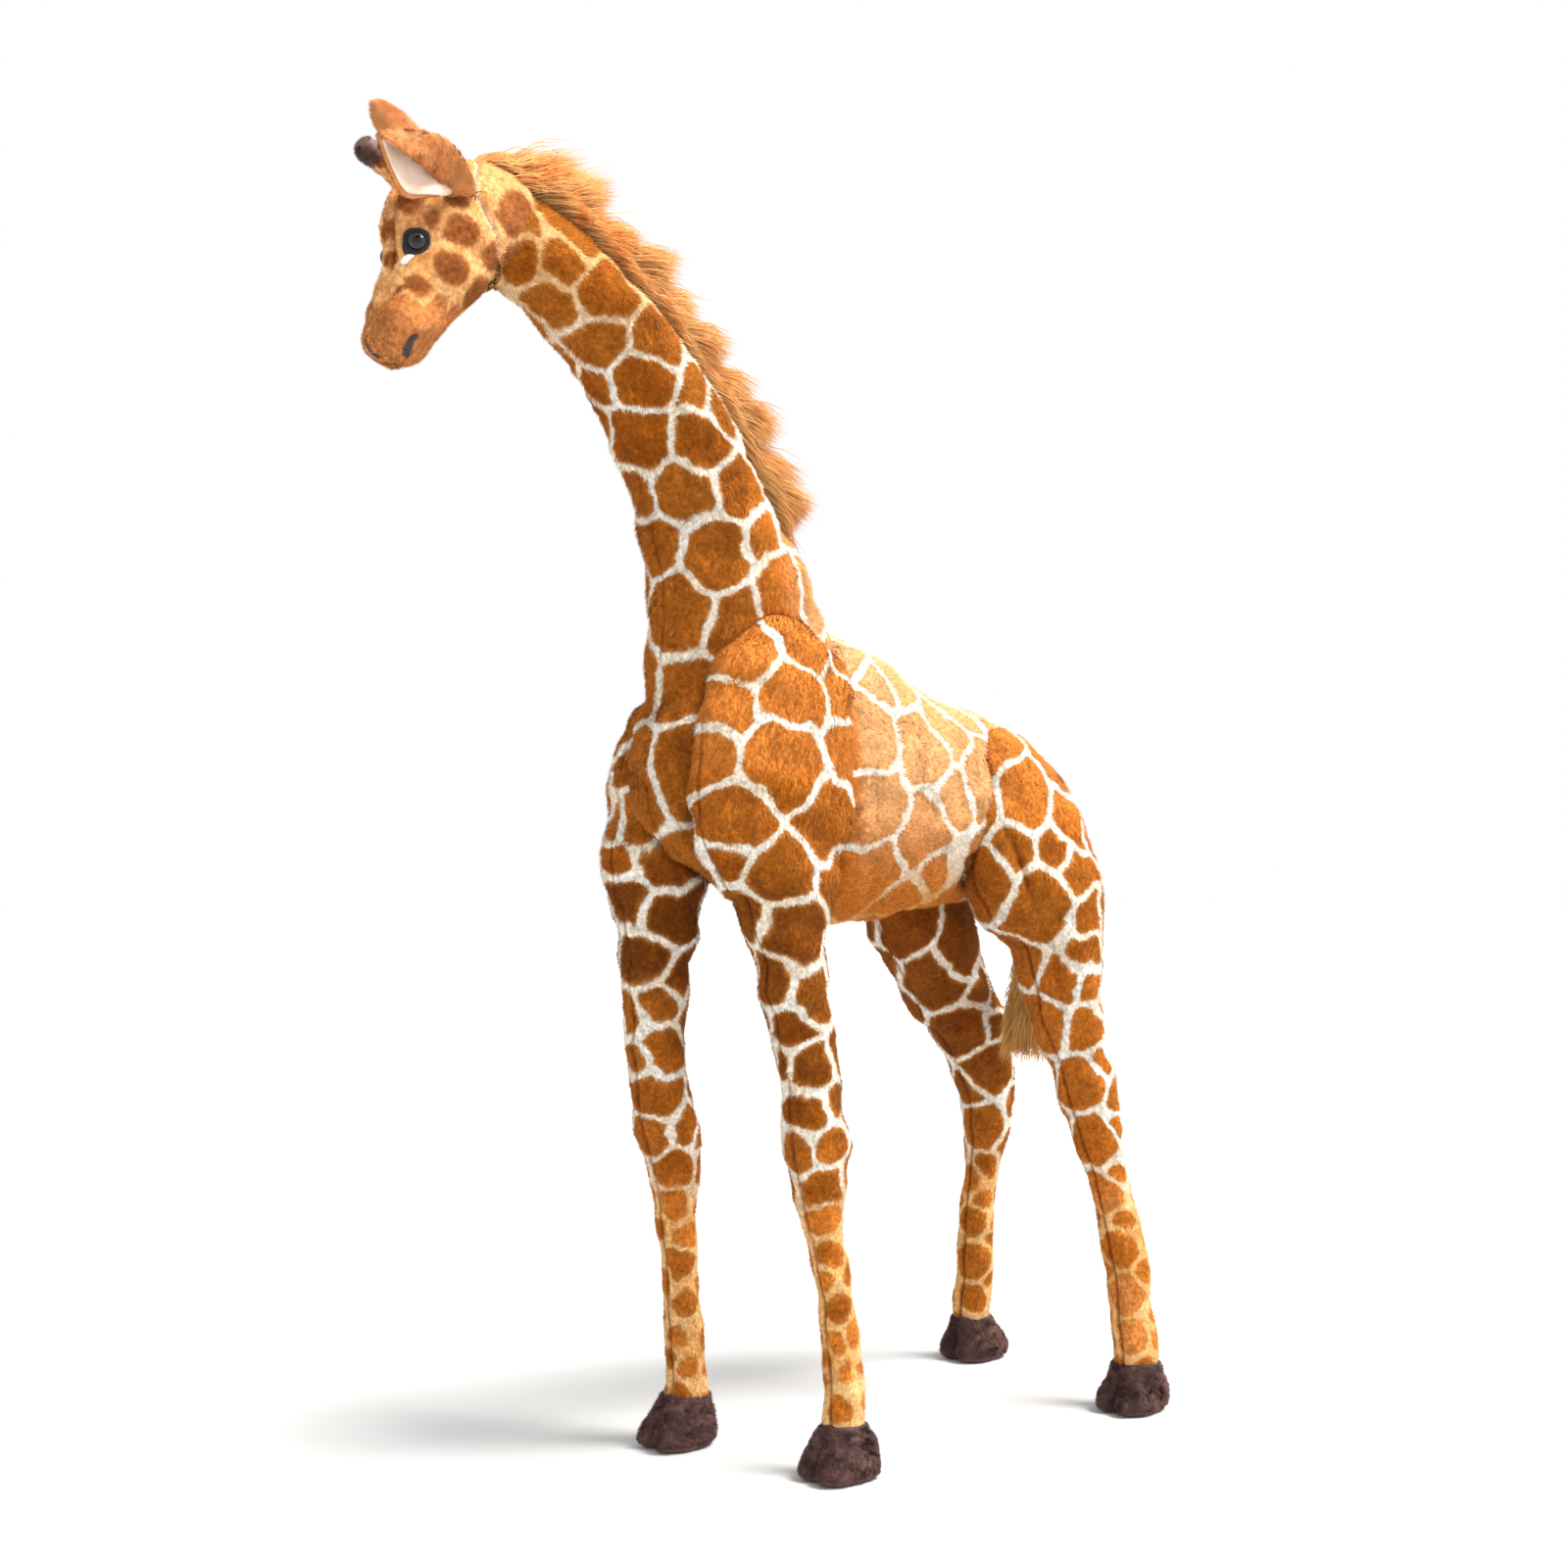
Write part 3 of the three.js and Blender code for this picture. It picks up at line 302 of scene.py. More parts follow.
class Coat:
    def __init__(self, seeds, cap=lambda p: 2.5, line=lambda p: 2.3, amount=1.0):
        s = np.array(place(seeds), float)
        self.S, self.r = s[:, :3], s[:, 3]
        self.cap, self.line, self.amount = cap, line, amount

    def mirror(self, seed, lowest_x=8):
        r = np.random.default_rng(seed)
        for p, q in list(zip(self.S, self.r)):
            if abs(p[0]) < lowest_x:
                continue
            m = p * np.array([-1, 1, 1]) + r.normal(0, 4, 3)
            if (np.linalg.norm(self.S - m, axis=1) > 0.85 * (self.r + q)).all():
                self.S, self.r = np.concatenate([self.S, m[None]]), np.append(self.r, q)

    def fill(self, skin_points, radius, seed, tight=0.12):
        # new patches where no patch is near
        r = np.random.default_rng(seed)
        P = skin_points[r.permutation(len(skin_points))[:5000]]
        loc = radius(P) * r.uniform(0.82, 1.12, len(P))
        gap = (np.linalg.norm(P[:, None] - self.S[None], axis=2) - self.r[None]).min(1)
        for _ in range(260):
            score = gap / loc - 1
            i = int(score.argmax())
            if score[i] < tight:
                break
            self.S, self.r = np.concatenate([self.S, P[i][None]]), np.append(self.r, loc[i])
            gap = np.minimum(gap, np.linalg.norm(P - P[i], axis=1) - loc[i])

    def __call__(self, p):
        edge, which = np.empty(len(p)), np.empty(len(p), int)
        S, r = self.S, self.r
        D = np.linalg.norm(S[:, None] - S[None], axis=2) + np.eye(len(S))
        for a in range(0, len(p), 20000):
            q = warped(p[a : a + 20000], self.amount)
            d = np.linalg.norm(q[:, None] - S[None], axis=2)
            w = d**2 - r**2
            i = w.argmin(1)
            k = np.arange(len(q))
            E = (w - w[k, i][:, None]) / (2 * D[i])
            E[k, i] = 1e3
            m = E.min(1)
            g = 0.9
            q0 = p[a : a + 20000]
            e = m - g * np.log(np.exp(-(E - m[:, None]) / g).sum(1)) - self.line(q0)
            c = self.cap(q0) * r[i] - d[k, i]
            lo = np.minimum(e, c)
            e = lo - 1.2 * np.log(np.exp(-(e - lo) / 1.2) + np.exp(-(c - lo) / 1.2))
            edge[a : a + 20000], which[a : a + 20000] = e, i
        return edge, which


def cell_random(i, salt=0):
    return np.modf(np.abs(np.sin((i + 1) * 12.9898 + salt * 78.233) * 43758.5453))[0]


# ---- the toy's parts as rows along a path ---------------------------------------------------------------------------------
TORSO = [[0,-122,410,8,10],[0,-116,410,26,30],[0,-104,411,40,45],[0,-84,413,50,56],[0,-60,415,55,62],[0,-30,418,58,67],[0,5,419,60,73],[0,40,422,62,83],[0,75,428,62,92],[0,110,435,60,95],[0,145,442,56,88],[0,180,445,50,78],[0,208,446,40,62],[0,226,448,26,42],[0,235,450,8,16]]
NECK = [[0,152,440,46,70],[0,156,480,46,70],[0,162,512,45,67],[0,171,545,43,58],[0,184,576,40,47],[0,198,606,37,41],[0,215,636,34.5,37],[0,240,667,32,34],[0,269,695,30,31.5],[0,300,717,28.5,29.5],[0,330,732,27,28.2],[0,352,738,26,27.6],[0,380,746,26,27.6]]
HEAD = [[0,-16,5,24,29,0],[0,-4,5,27,31.5,0],[0,10,4,29,35,.05],[0,27,-4,30,38.5,.18],[0,40.5,-29,27,29.5,.26],[0,53,-53,22.5,20.5,.16],[0,59.5,-67,22.5,17,0],[0,62.5,-76.5,18.5,15,-.05],[0,64.5,-84,8,7,0]]
LEGS = {
    "front_left": (1, (62, 133), [(38,146,526,8,10),(38,150,518,18,32),(40,155,500,25,48),(42,164,472,30,59),(42,169,440,31,64),(42,170,405,31,62),(43,168,380,30,52),(44,164,360,29,38),(45.2,164,345,27,30),(46,163,330,23.5,25),(47.6,158,299,22,23),(49,151,268,20,21),(51,147,237,19,20),(52.6,144,206,20,21),(54,142,176,16,17),(55.3,140,156,12.5,13),(57,135,126,12,12.5),(58.5,131,95,13,13),(60,129,65,13,13),(62,129,29,13.6,13.6)]),
    "front_right": (-1, (62, 158), [(36,140,512,8,10),(37,141,504,16,24),(39,144,488,24,36),(41,154,462,29,48),(42,167,432,31,56),(42,178,402,31,54),(43,190,375,30,40),(45,190,350,28,30),(46,189,335,26,26),(48,188.5,297,21.5,22),(50,186,256,18.5,19),(51,182.5,235,18.5,19),(52.2,177,214,20,20.5),(53.1,172,196,20,20),(54.2,169,177,16.5,17),(56,165,144,13,13.5),(57.6,160,112,13,13),(59.4,155.5,80,13.5,13.5),(61,152,47,13.5,13.5),(62.3,151.5,24,14.5,14.5)]),
    "hind_left": (1, (88, -127), [(36,-34,466,8,10),(37,-36,459,17,24),(39,-40,442,25,38),(43,-46,420,30,48),(46,-54,397,33,54),(50,-64,370,35,56),(54,-77,345,35,46),(57,-82,325,32,36),(58,-83,308,30,31),(60,-84,293,28,29),(62.6,-88,268,24.5,25),(65.2,-96,244,21,22),(67.7,-102.7,220,21,22),(70.4,-108.6,195,18.6,19),(73,-115,170,15.5,16),(75.6,-120.5,146,14.5,15),(78.2,-125.8,121.6,15,15.5),(81,-129,97,15.5,16),(83.4,-130,73,14.6,15),(87.7,-131,29,15.5,16)]),
    "hind_right": (-1, (88, -162), [(36,-34,466,8,10),(37,-36,459,17,24),(39,-39,442,25,38),(43,-44,420,30,48),(46,-49,397,33,54),(50,-56,370,35,54),(54,-66,340,35,46),(57.8,-81,313,32,37),(60.6,-99,286.5,30,34),(63.6,-125.6,259,27,30),(66.5,-143.8,231,23.5,26),(69.4,-152,204.7,21,22),(72.3,-156.5,177.4,18.5,19),(75.1,-155.8,150.5,13.7,14),(77.9,-154,124.4,13.4,13.6),(80.8,-154.4,97.2,13.8,13.8),(83.8,-157,69.7,14.2,14.2),(88,-158,29,14.6,14.6)]),
}
HEAD_AT = np.array([0.0, SH - 352, 735.0])


def head_place(x, s, z):
    return np.array([x, -s, z]) + HEAD_AT


# ---- materials -----------------------------------------------------------------------------------------------------------
def lin(*c):
    return tuple(x / 255 / 12.92 if x / 255 <= 0.04045 else ((x / 255 + 0.055) / 1.055) ** 2.4 for x in c) + (1.0,)


class Paint:
    def __init__(self, name):
        self.mat = bpy.data.materials.new(name)
        self.mat.use_nodes = True
        self.t = self.mat.node_tree
        self.t.nodes.clear()
        self.out = self.t.nodes.new("ShaderNodeOutputMaterial")

    def put(self, socket, v):
        if isinstance(v, bpy.types.NodeSocket):
            self.t.links.new(v, socket)
        else:
            socket.default_value = v

    def attr(self, name):
        n = self.t.nodes.new("ShaderNodeAttribute")
        n.attribute_name = name
        return n.outputs["Fac"]

    def math(self, op, a, b=0.0, clamp=False):
        n = self.t.nodes.new("ShaderNodeMath")
        n.operation, n.use_clamp = op, clamp
        self.put(n.inputs[0], a)
        self.put(n.inputs[1], b)
        return n.outputs[0]

    def ramp(self, v, a, b, lo=0.0, hi=1.0):
        n = self.t.nodes.new("ShaderNodeMapRange")
        n.interpolation_type = "SMOOTHSTEP"
        for k, x in zip(("Value", "From Min", "From Max", "To Min", "To Max"), (v, a, b, lo, hi)):
            self.put(n.inputs[k], x)
        return n.outputs[0]

    def mix(self, f, a, b, kind="MIX"):
        n = self.t.nodes.new("ShaderNodeMix")
        n.data_type, n.blend_type = "RGBA", kind
        self.put(n.inputs[0], f)
        self.put(n.inputs[6], a)
        self.put(n.inputs[7], b)
        return n.outputs[2]

    def coords(self):
        if not hasattr(self, "_tc"):
            self._tc = self.t.nodes.new("ShaderNodeTexCoord").outputs["Object"]
        return self._tc

    def noise(self, scale, detail=3.0, rough=0.55, stretch=None):
        n = self.t.nodes.new("ShaderNodeTexNoise")
        n.inputs["Scale"].default_value = scale
        n.inputs["Detail"].default_value = detail
        n.inputs["Roughness"].default_value = rough
        v = self.coords()
        if stretch:
            m = self.t.nodes.new("ShaderNodeMapping")
            m.inputs["Scale"].default_value = stretch
            self.t.links.new(v, m.inputs["Vector"])
            v = m.outputs[0]
        self.t.links.new(v, n.inputs["Vector"])
        return n.outputs["Fac"]

    def bump(self, height, strength, distance):
        n = self.t.nodes.new("ShaderNodeBump")
        n.inputs["Strength"].default_value = strength
        n.inputs["Distance"].default_value = distance
        self.t.links.new(height, n.inputs["Height"])
        return n.outputs[0]

    def shade(self, color, rough=0.9, spec=0.15, sheen=0.0, sheen_tint=(1, 1, 1, 1), normal=None, glow=0.0, **more):
        n = self.t.nodes.new("ShaderNodeBsdfPrincipled")
        self.put(n.inputs["Base Color"], color)
        self.put(n.inputs["Roughness"], rough)
        n.inputs["Specular IOR Level"].default_value = spec
        n.inputs["Sheen Weight"].default_value = sheen
        n.inputs["Sheen Roughness"].default_value = 0.5
        n.inputs["Sheen Tint"].default_value = sheen_tint
        for k, v in more.items():
            self.put(n.inputs[k], v)
        if normal is not None:
            self.t.links.new(normal, n.inputs["Normal"])
        out = n.outputs[0]
        if glow:
            # light passing through the fibres
            tr = self.t.nodes.new("ShaderNodeBsdfTranslucent")
            self.put(tr.inputs["Color"], color)
            mx = self.t.nodes.new("ShaderNodeMixShader")
            mx.inputs[0].default_value = glow
            self.t.links.new(out, mx.inputs[1])
            self.t.links.new(tr.outputs[0], mx.inputs[2])
            out = mx.outputs[0]
        self.t.links.new(out, self.out.inputs["Surface"])
        return self.mat


CREAM, CREAM_LO = lin(254, 249, 238), lin(250, 234, 210)
TAN, TAN_LO = lin(244, 196, 134), lin(230, 168, 98)


def plush(name, fur, rim, core, deep, pale_and_lit, ground=(CREAM, CREAM_LO), tan=(TAN, TAN_LO), grain=0.22, soft_edge=1.0, bright_print_and_lit=None):
    """printed plush; fur: the strands, else the cloth under them"""
    p = Paint(name)
    bright_print_and_lit = bright_print_and_lit or lin(219, 126, 42)
    edge, tone, cell, rnd, tip, seam, pale = (p.attr(k) for k in ("edge", "tone", "cell", "rnd", "tip", "seam", "pale"))
    soft = p.noise(38, 2.0)
    fine = p.noise(420, 2.0)
    field_col = p.mix(p.ramp(soft, 0.35, 0.7), p.mix(tone, ground[0], tan[0]), p.mix(tone, ground[1], tan[1]))
    patch = p.mix(p.math("MULTIPLY", p.ramp(soft, 0.38, 0.72), 0.6), core, deep)
    patch = p.mix(p.math("MULTIPLY", cell, 0.3), patch, rim)
    # above nought: a paler print, and painted light where the key light falls
    patch = p.mix(p.ramp(pale, 0.0, 0.36), patch, bright_print_and_lit)
    patch = p.mix(p.ramp(pale, 0.22, 0.95), patch, pale_and_lit)
    # below nought the same value darkens the print: painted shade
    patch = p.mix(p.ramp(p.math("MULTIPLY", pale, -1.0), 0.0, 1.0), patch, p.mix(1.0, patch, (0.36, 0.3, 0.26, 1.0), "MULTIPLY"))
    patch = p.mix(p.ramp(edge, 0.0, 3.4), p.mix(0.45, rim, patch), patch)
    where = p.math("ADD", edge, p.math("MULTIPLY", p.math("SUBTRACT", fine, 0.5), 1.6))
    inside = p.ramp(where, -0.95 * soft_edge, 0.75 * soft_edge)
    col = p.mix(inside, field_col, patch)
    # each strand a little lighter or darker, with painted shade towards its root, on the cloth under the strands and in
    # the seams
    k = p.math("ADD", p.math("MULTIPLY", rnd, 0.44), p.math("SUBTRACT", 0.78, p.math("MULTIPLY", inside, 0.08)))
    k = p.math("MULTIPLY", k, p.ramp(p.noise(360, 3.0, 0.6), 0.34, 0.66, 1.0 - grain, 1.0 + grain))
    if fur:
        k = p.math("MULTIPLY", k, p.ramp(tip, 0.0, 0.75, 0.74, 1.06))
    else:
        k = p.math("MULTIPLY", k, 0.78)
    grey = p.t.nodes.new("ShaderNodeCombineXYZ")
    for i in range(3):
        p.put(grey.inputs[i], k)
    col = p.mix(1.0, col, grey.outputs[0], "MULTIPLY")
    # the creases gather warm shade
    col = p.mix(p.ramp(seam, 0.0, 1.0), col, p.mix(1.0, col, (0.42, 0.27, 0.17, 1.0), "MULTIPLY"))
    n = None if fur else p.bump(p.noise(900, 3.0), 0.6, 0.0008)
    return p.shade(col, 0.85, 0.08, 0.1, lin(255, 204, 150), n, 0.26 if fur else 0.0)


def hairy(name, a, b, c, glow=0.3, roots=0.5):
    """long or short pile of one colour family: a light, b middle, c dark"""
    p = Paint(name)
    rnd, tip, seam = p.attr("rnd"), p.attr("tip"), p.attr("seam")
    soft = p.noise(45, 2.0)
    col = p.mix(p.ramp(rnd, 0.0, 0.6), b, a)
    col = p.mix(p.math("MULTIPLY", p.ramp(soft, 0.45, 0.75), 0.7), col, c)
    # painted shade towards the roots and in the seams
    k = p.math("MULTIPLY", p.ramp(tip, 0.0, 0.7, roots * 0.88, 0.93), p.ramp(seam, 0.0, 1.0, 1.0, 0.45))
    grey = p.t.nodes.new("ShaderNodeCombineXYZ")
    for i in range(3):
        p.put(grey.inputs[i], k)
    col = p.mix(1.0, col, grey.outputs[0], "MULTIPLY")
    return p.shade(col, 0.6, 0.25, 0.2, a, None, glow)


RIM, CORE, DEEP, PALE_AND_LIT = lin(206, 134, 56), lin(184, 101, 24), lin(142, 68, 9), lin(242, 180, 122)
M = {}
M["plush_cloth"] = plush("plush_cloth", False, RIM, CORE, DEEP, PALE_AND_LIT)
M["plush_pile"] = plush("plush_pile", True, RIM, CORE, DEEP, PALE_AND_LIT)
HG = (lin(253, 197, 131), lin(232, 158, 93))
HEAD_TONES = (lin(204, 130, 72), lin(162, 90, 45), lin(131, 68, 31), lin(218, 140, 80))
M["head_cloth"] = plush("head_cloth", False, *HEAD_TONES, (CREAM, CREAM_LO), HG, 0.24, 1.7, lin(206, 128, 70))
M["head_pile"] = plush("head_pile", True, *HEAD_TONES, (CREAM, CREAM_LO), HG, 0.26, 1.7, lin(206, 128, 70))
M["mane"] = hairy("mane_pile", lin(255, 202, 130), lin(252, 162, 76), lin(234, 130, 48), 0.45, 0.68)
M["tail"] = hairy("tail_pile", lin(248, 198, 118), lin(226, 160, 72), lin(190, 120, 44), 0.35, 0.6)
M["ear_pile"] = hairy("ear_pile", lin(255, 176, 108), lin(242, 140, 70), lin(206, 106, 46), 0.35, 0.7)
M["hoof"] = hairy("hoof_pile", lin(112, 80, 74), lin(74, 50, 47), lin(42, 28, 28), 0.1, 0.35)
M["tip"] = hairy("horn_tip_pile", lin(156, 122, 110), lin(114, 86, 78), lin(72, 52, 48), 0.12, 0.4)


def make_lining():
    p = Paint("ear_lining_cloth")
    soft, weave = p.noise(60, 2.0), p.noise(1500, 2.0)
    col = p.mix(p.ramp(soft, 0.3, 0.7), lin(224, 200, 180), lin(200, 170, 146))
    return p.shade(col, 0.7, 0.2, 0.35, lin(255, 240, 226), p.bump(weave, 0.35, 0.0004))


def make_felt(name, a, b):
    p = Paint(name)
    col = p.mix(p.ramp(p.noise(700, 4.0), 0.3, 0.7), a, b)
    return p.shade(col, 0.95, 0.1, 0.3, (1, 1, 1, 1), p.bump(p.noise(1600, 4.0), 0.7, 0.0004))


def make_eye():
    p = Paint("eye_gloss")
    g = p.t.nodes.new("ShaderNodeTexNoise")
    g.inputs["Scale"].default_value = 300
    p.t.links.new(p.coords(), g.inputs["Vector"])
    ring = p.attr("ring")
    col = p.mix(p.ramp(ring, 0.42, 0.5), lin(8, 8, 9), p.mix(p.ramp(g.outputs["Fac"], 0.3, 0.7), lin(30, 26, 26), lin(52, 46, 46)))
    col = p.mix(p.ramp(ring, 0.86, 0.93), col, lin(10, 10, 11))
    return p.shade(col, 0.12, 0.3, **{"Coat Weight": 0.12, "Coat Roughness": 0.03})


def make_thread():
    p = Paint("dark_thread")
    col = p.mix(p.ramp(p.noise(900, 2.0), 0.3, 0.7), lin(66, 50, 52), lin(40, 30, 32))
    return p.shade(col, 0.55, 0.35, 0.2, (1, 1, 1, 1))


M["lining"], M["felt"], M["white_felt"] = make_lining(), make_felt("felt_dark", lin(26, 25, 28), lin(42, 40, 44)), make_felt("felt_white", lin(224, 220, 213), lin(204, 198, 189))
M["eye"], M["thread"] = make_eye(), make_thread()
M["fibre"] = make_felt("stuffing_fibre", lin(250, 250, 248), lin(236, 236, 232))


# ---- plumping the stuffed cloth by a short cloth simulation ------------------------------------------------------------
def plump(skin, held, coarse=5.5, pressure=4.0, cap=1.8, extra=0.0):
    """the sewn cloth is blown out a little between its seams; held(points) is 1 where it is sewn down"""
    co, quads, tris = voxelled([skin], coarse, M["felt"])
    ob = new_object("work_cloth", co, quads, tris, M["felt"])
    g = ob.vertex_groups.new(name="held")
    w = held(co)
    for i in np.nonzero(w > 0.02)[0]:
        g.add([int(i)], float(min(1.0, w[i])), "REPLACE")
    m = ob.modifiers.new("cloth", "CLOTH")
    s = m.settings
    s.quality = 4
    s.mass = 0.15
    s.tension_stiffness = s.compression_stiffness = 12
    s.shear_stiffness = 6
    s.bending_stiffness = 0.3
    s.use_pressure = True
    s.uniform_pressure_force = pressure
    s.vertex_group_mass = "held"
    s.pin_stiffness = 2.0
    s.shrink_min = -extra
    s.effector_weights.gravity = 0
    m.collision_settings.use_collision = False
    m.point_cache.frame_start, m.point_cache.frame_end = 1, 20
    sc = bpy.context.scene
    for f in range(1, 21):
        sc.frame_set(f)
    new, _, _ = read_back(ob)
    sc.frame_set(1)
    drop(ob)
    d = new - co
    ln = np.linalg.norm(d, axis=1, keepdims=True)
    d = d * np.minimum(1, cap / np.maximum(ln, 1e-6))
    d *= (1 - 0.9 * np.clip(w, 0, 1))[:, None]
    idx, dist = nearest(co, skin.co, 4)
    ww = 1 / (dist + 0.6)
    ww /= ww.sum(1, keepdims=True)
    skin.co = skin.co + (d[idx] * ww[..., None]).sum(1)
    skin.update()


# ---- pile -----------------------------------------------------------------------------------------------------------------
_swirl = [field(61 + i, 34) for i in range(3)]
_tuft = [field(71 + i, 7) for i in range(3)]
_rise = field(81, 11)
_clump, _clump2 = field(83, 5.5), field(84, 2.8)


def scatter(skin, count, seed, weight=None):
    """points spread evenly over the skin, with what the skin knows there"""
    r = np.random.default_rng(seed)
    t = skin.tri
    a, b, c = skin.co[t[:, 0]], skin.co[t[:, 1]], skin.co[t[:, 2]]
    area = np.linalg.norm(np.cross(b - a, c - a), axis=1)
    w = 1 - skin.bare[t].mean(1)
    if weight is not None:
        w = w * weight[t].mean(1)
    cum = np.cumsum(area * np.clip(w, 0, 1))
    if cum[-1] <= 0:
        return None
    x = (np.arange(count) + r.uniform(0, 1, count)) / count * cum[-1]
    f = np.minimum(np.searchsorted(cum, x), len(t) - 1)
    u, v = r.uniform(0, 1, count), r.uniform(0, 1, count)
    flip = u + v > 1
    u, v = np.where(flip, 1 - u, u), np.where(flip, 1 - v, v)
    B = np.stack([1 - u - v, u, v], 1)[..., None]
    mixd = lambda A: (A[t[f]] * B).sum(1) if A.ndim > 1 else (A[t[f]] * B[..., 0]).sum(1)
    p, n, fl = mixd(skin.co), unit(mixd(skin.n)), mixd(skin.flow)
    return p, n, fl, mixd(skin.seam), r


def pile(name, skin, count, seed, coat, mat, length=(3.2, 4.4), width=0.66, tilt=33, weight=None, wild=0.30, shape=None):
    """short pile: each strand a slim closed spike lying over in the way the pile runs"""
    count = int(count * PILE)
    got = scatter(skin, count, seed, weight)
    p, n, fl, seam, r = got
    wob = np.stack([g(p) for g in _swirl], 1) * 0.34 + np.stack([g(p) for g in _tuft], 1) * wild
    f = unit(fl) + wob + r.normal(0, 0.12, p.shape)
    f = unit(f - n * np.einsum("ij,ij->i", f, n)[:, None])
    rise = np.radians(tilt) * (1 + 0.22 * _rise(p) + r.normal(0, 0.16, count))
    rise = np.clip(rise, 0.2, 1.3)[:, None]
    d = unit(f * np.cos(rise) + n * np.sin(rise))
    s = unit(np.cross(n, d))
    up = np.cross(d, s)
    L = r.uniform(*length, count) * (1 - 0.45 * np.clip(seam, 0, 1))
    if shape is not None:
        L = L * shape(p)
    L = L[:, None]
    w = (width * r.uniform(0.75, 1.25, count))[:, None]
    base = p - n * 0.35
    A, Bp, C = base + s * w / 2, base - s * w / 2, base + up * w * 0.42
    tip = p + d * L - n * L * 0.06
    co = np.stack([A, Bp, C, tip], 1).reshape(-1, 3)
    i = (np.arange(count) * 4)[:, None]
    tris = np.concatenate([i + [0, 2, 3], i + [2, 1, 3], i + [1, 0, 3], i + [0, 1, 2]])
    # outward order
    v = co[tris]
    cen = np.repeat(co.reshape(-1, 4, 3).mean(1)[None], 4, 0).reshape(-1, 3)
    out = np.einsum("ij,ij->i", np.cross(v[:, 1] - v[:, 0], v[:, 2] - v[:, 0]), v.mean(1) - cen)
    tris[out < 0] = tris[out < 0][:, ::-1]
    vn = np.stack([unit(n + s * 0.55), unit(n - s * 0.55), unit(n + up * 0.2), unit(n + d * 0.25)], 1).reshape(-1, 3)
    attrs = coat(p + d * L * 0.5 - n * np.einsum("ij,ij->i", d, n)[:, None] * L * 0.5 + r.normal(0, 0.12, p.shape))
    attrs = {k: np.repeat(a, 4) for k, a in attrs.items()}
    clump = 0.5 + 0.24 * _clump(p) + 0.16 * _clump2(p)
    attrs["rnd"] = np.repeat(np.clip(0.55 * r.uniform(0, 1, count) + 0.45 * clump, 0, 1), 4)
    attrs["seam"] = np.repeat(np.clip(seam, 0, 1), 4)
    attrs["tip"] = np.tile([0, 0, 0.1, 1.0], count)
    return new_object(name, co, np.zeros((0, 4)), tris, mat, attrs, vn)


def cloth_of(name, skin, coat, mat):
    attrs = coat(skin.co)
    attrs["rnd"] = 0.5 + 0.15 * _rise(skin.co * 0.7)
    attrs["seam"] = np.clip(skin.seam, 0, 1)
    attrs["tip"] = np.ones(len(skin.co))
    return new_object(name, skin.co, skin.quads, skin.tris, mat, attrs)


def plain(p):
    z = np.zeros(len(p))
    return {"edge": z - 5, "tone": z, "cell": z}


def hairs(name, root, n, bend, length, width, mat, seed, segs=3, shade=None, sink=1.0):
    """long pile: tapering closed strands that start along n and end along bend"""
    r = np.random.default_rng(seed)
    N = len(root)
    t = np.linspace(0, 1, segs + 1)
    n, bend = unit(n), unit(bend)
    L = np.broadcast_to(length, (N,))[:, None]
    kink = r.normal(0, 0.05, (N, 3))
    pts = []
    for u in t:
        pts.append(root - n * sink + (n * (u - 0.5 * u * u) * 1.25 + bend * (0.5 * u * u) * 1.25 + kink * math.sin(3.0 * u)) * L)
    pts = np.stack(pts, 1)
    side = unit(np.cross(n, bend) + r.normal(0, 0.3, (N, 3)))
    co, vn = [], []
    for k in range(segs):
        d = unit(pts[:, min(k + 1, segs)] - pts[:, max(k - 1, 0)])
        s = unit(side - d * np.einsum("ij,ij->i", side, d)[:, None])
        o = np.cross(d, s)
        w = (np.broadcast_to(width, (N,)) * (1 - 0.72 * (k / segs) ** 1.3) / 2)[:, None]
        for a in (0, 2.094, 4.189):
            e = s * math.cos(a) + o * math.sin(a)
            co.append(pts[:, k] + e * w)
            vn.append(unit(e + n * 0.9))
    co.append(pts[:, -1])
    vn.append(unit(n + bend * 0.3))
    m = 3 * segs + 1
    co = np.stack(co, 1).reshape(-1, 3)
    vn = np.stack(vn, 1).reshape(-1, 3)
    i = (np.arange(N) * m)[:, None]
    quads, tris = [], [i + [2, 1, 0]]
    for k in range(segs - 1):
        for a in range(3):
            b = (a + 1) % 3
            quads.append(i + [3 * k + a, 3 * k + b, 3 * k + 3 + b, 3 * k + 3 + a])
    e = 3 * (segs - 1)
    for a in range(3):
        tris.append(i + [e + a, e + (a + 1) % 3, m - 1])
    quads = np.concatenate(quads) if quads else np.zeros((0, 4), int)
    tris = np.concatenate(tris)
    rnd = r.uniform(0, 1, N) if shade is None else shade
    attrs = {
        "rnd": np.repeat(rnd, m),
        "seam": np.zeros(N * m),
        "tip": np.tile(np.concatenate([np.repeat(t[:segs], 3), [1.0]]), N),
    }
    ob = new_object(name, co, quads, tris, mat, attrs)
    outward(ob)
    ob.data.normals_split_custom_set_from_vertices(vn.astype(np.float32))
    return ob


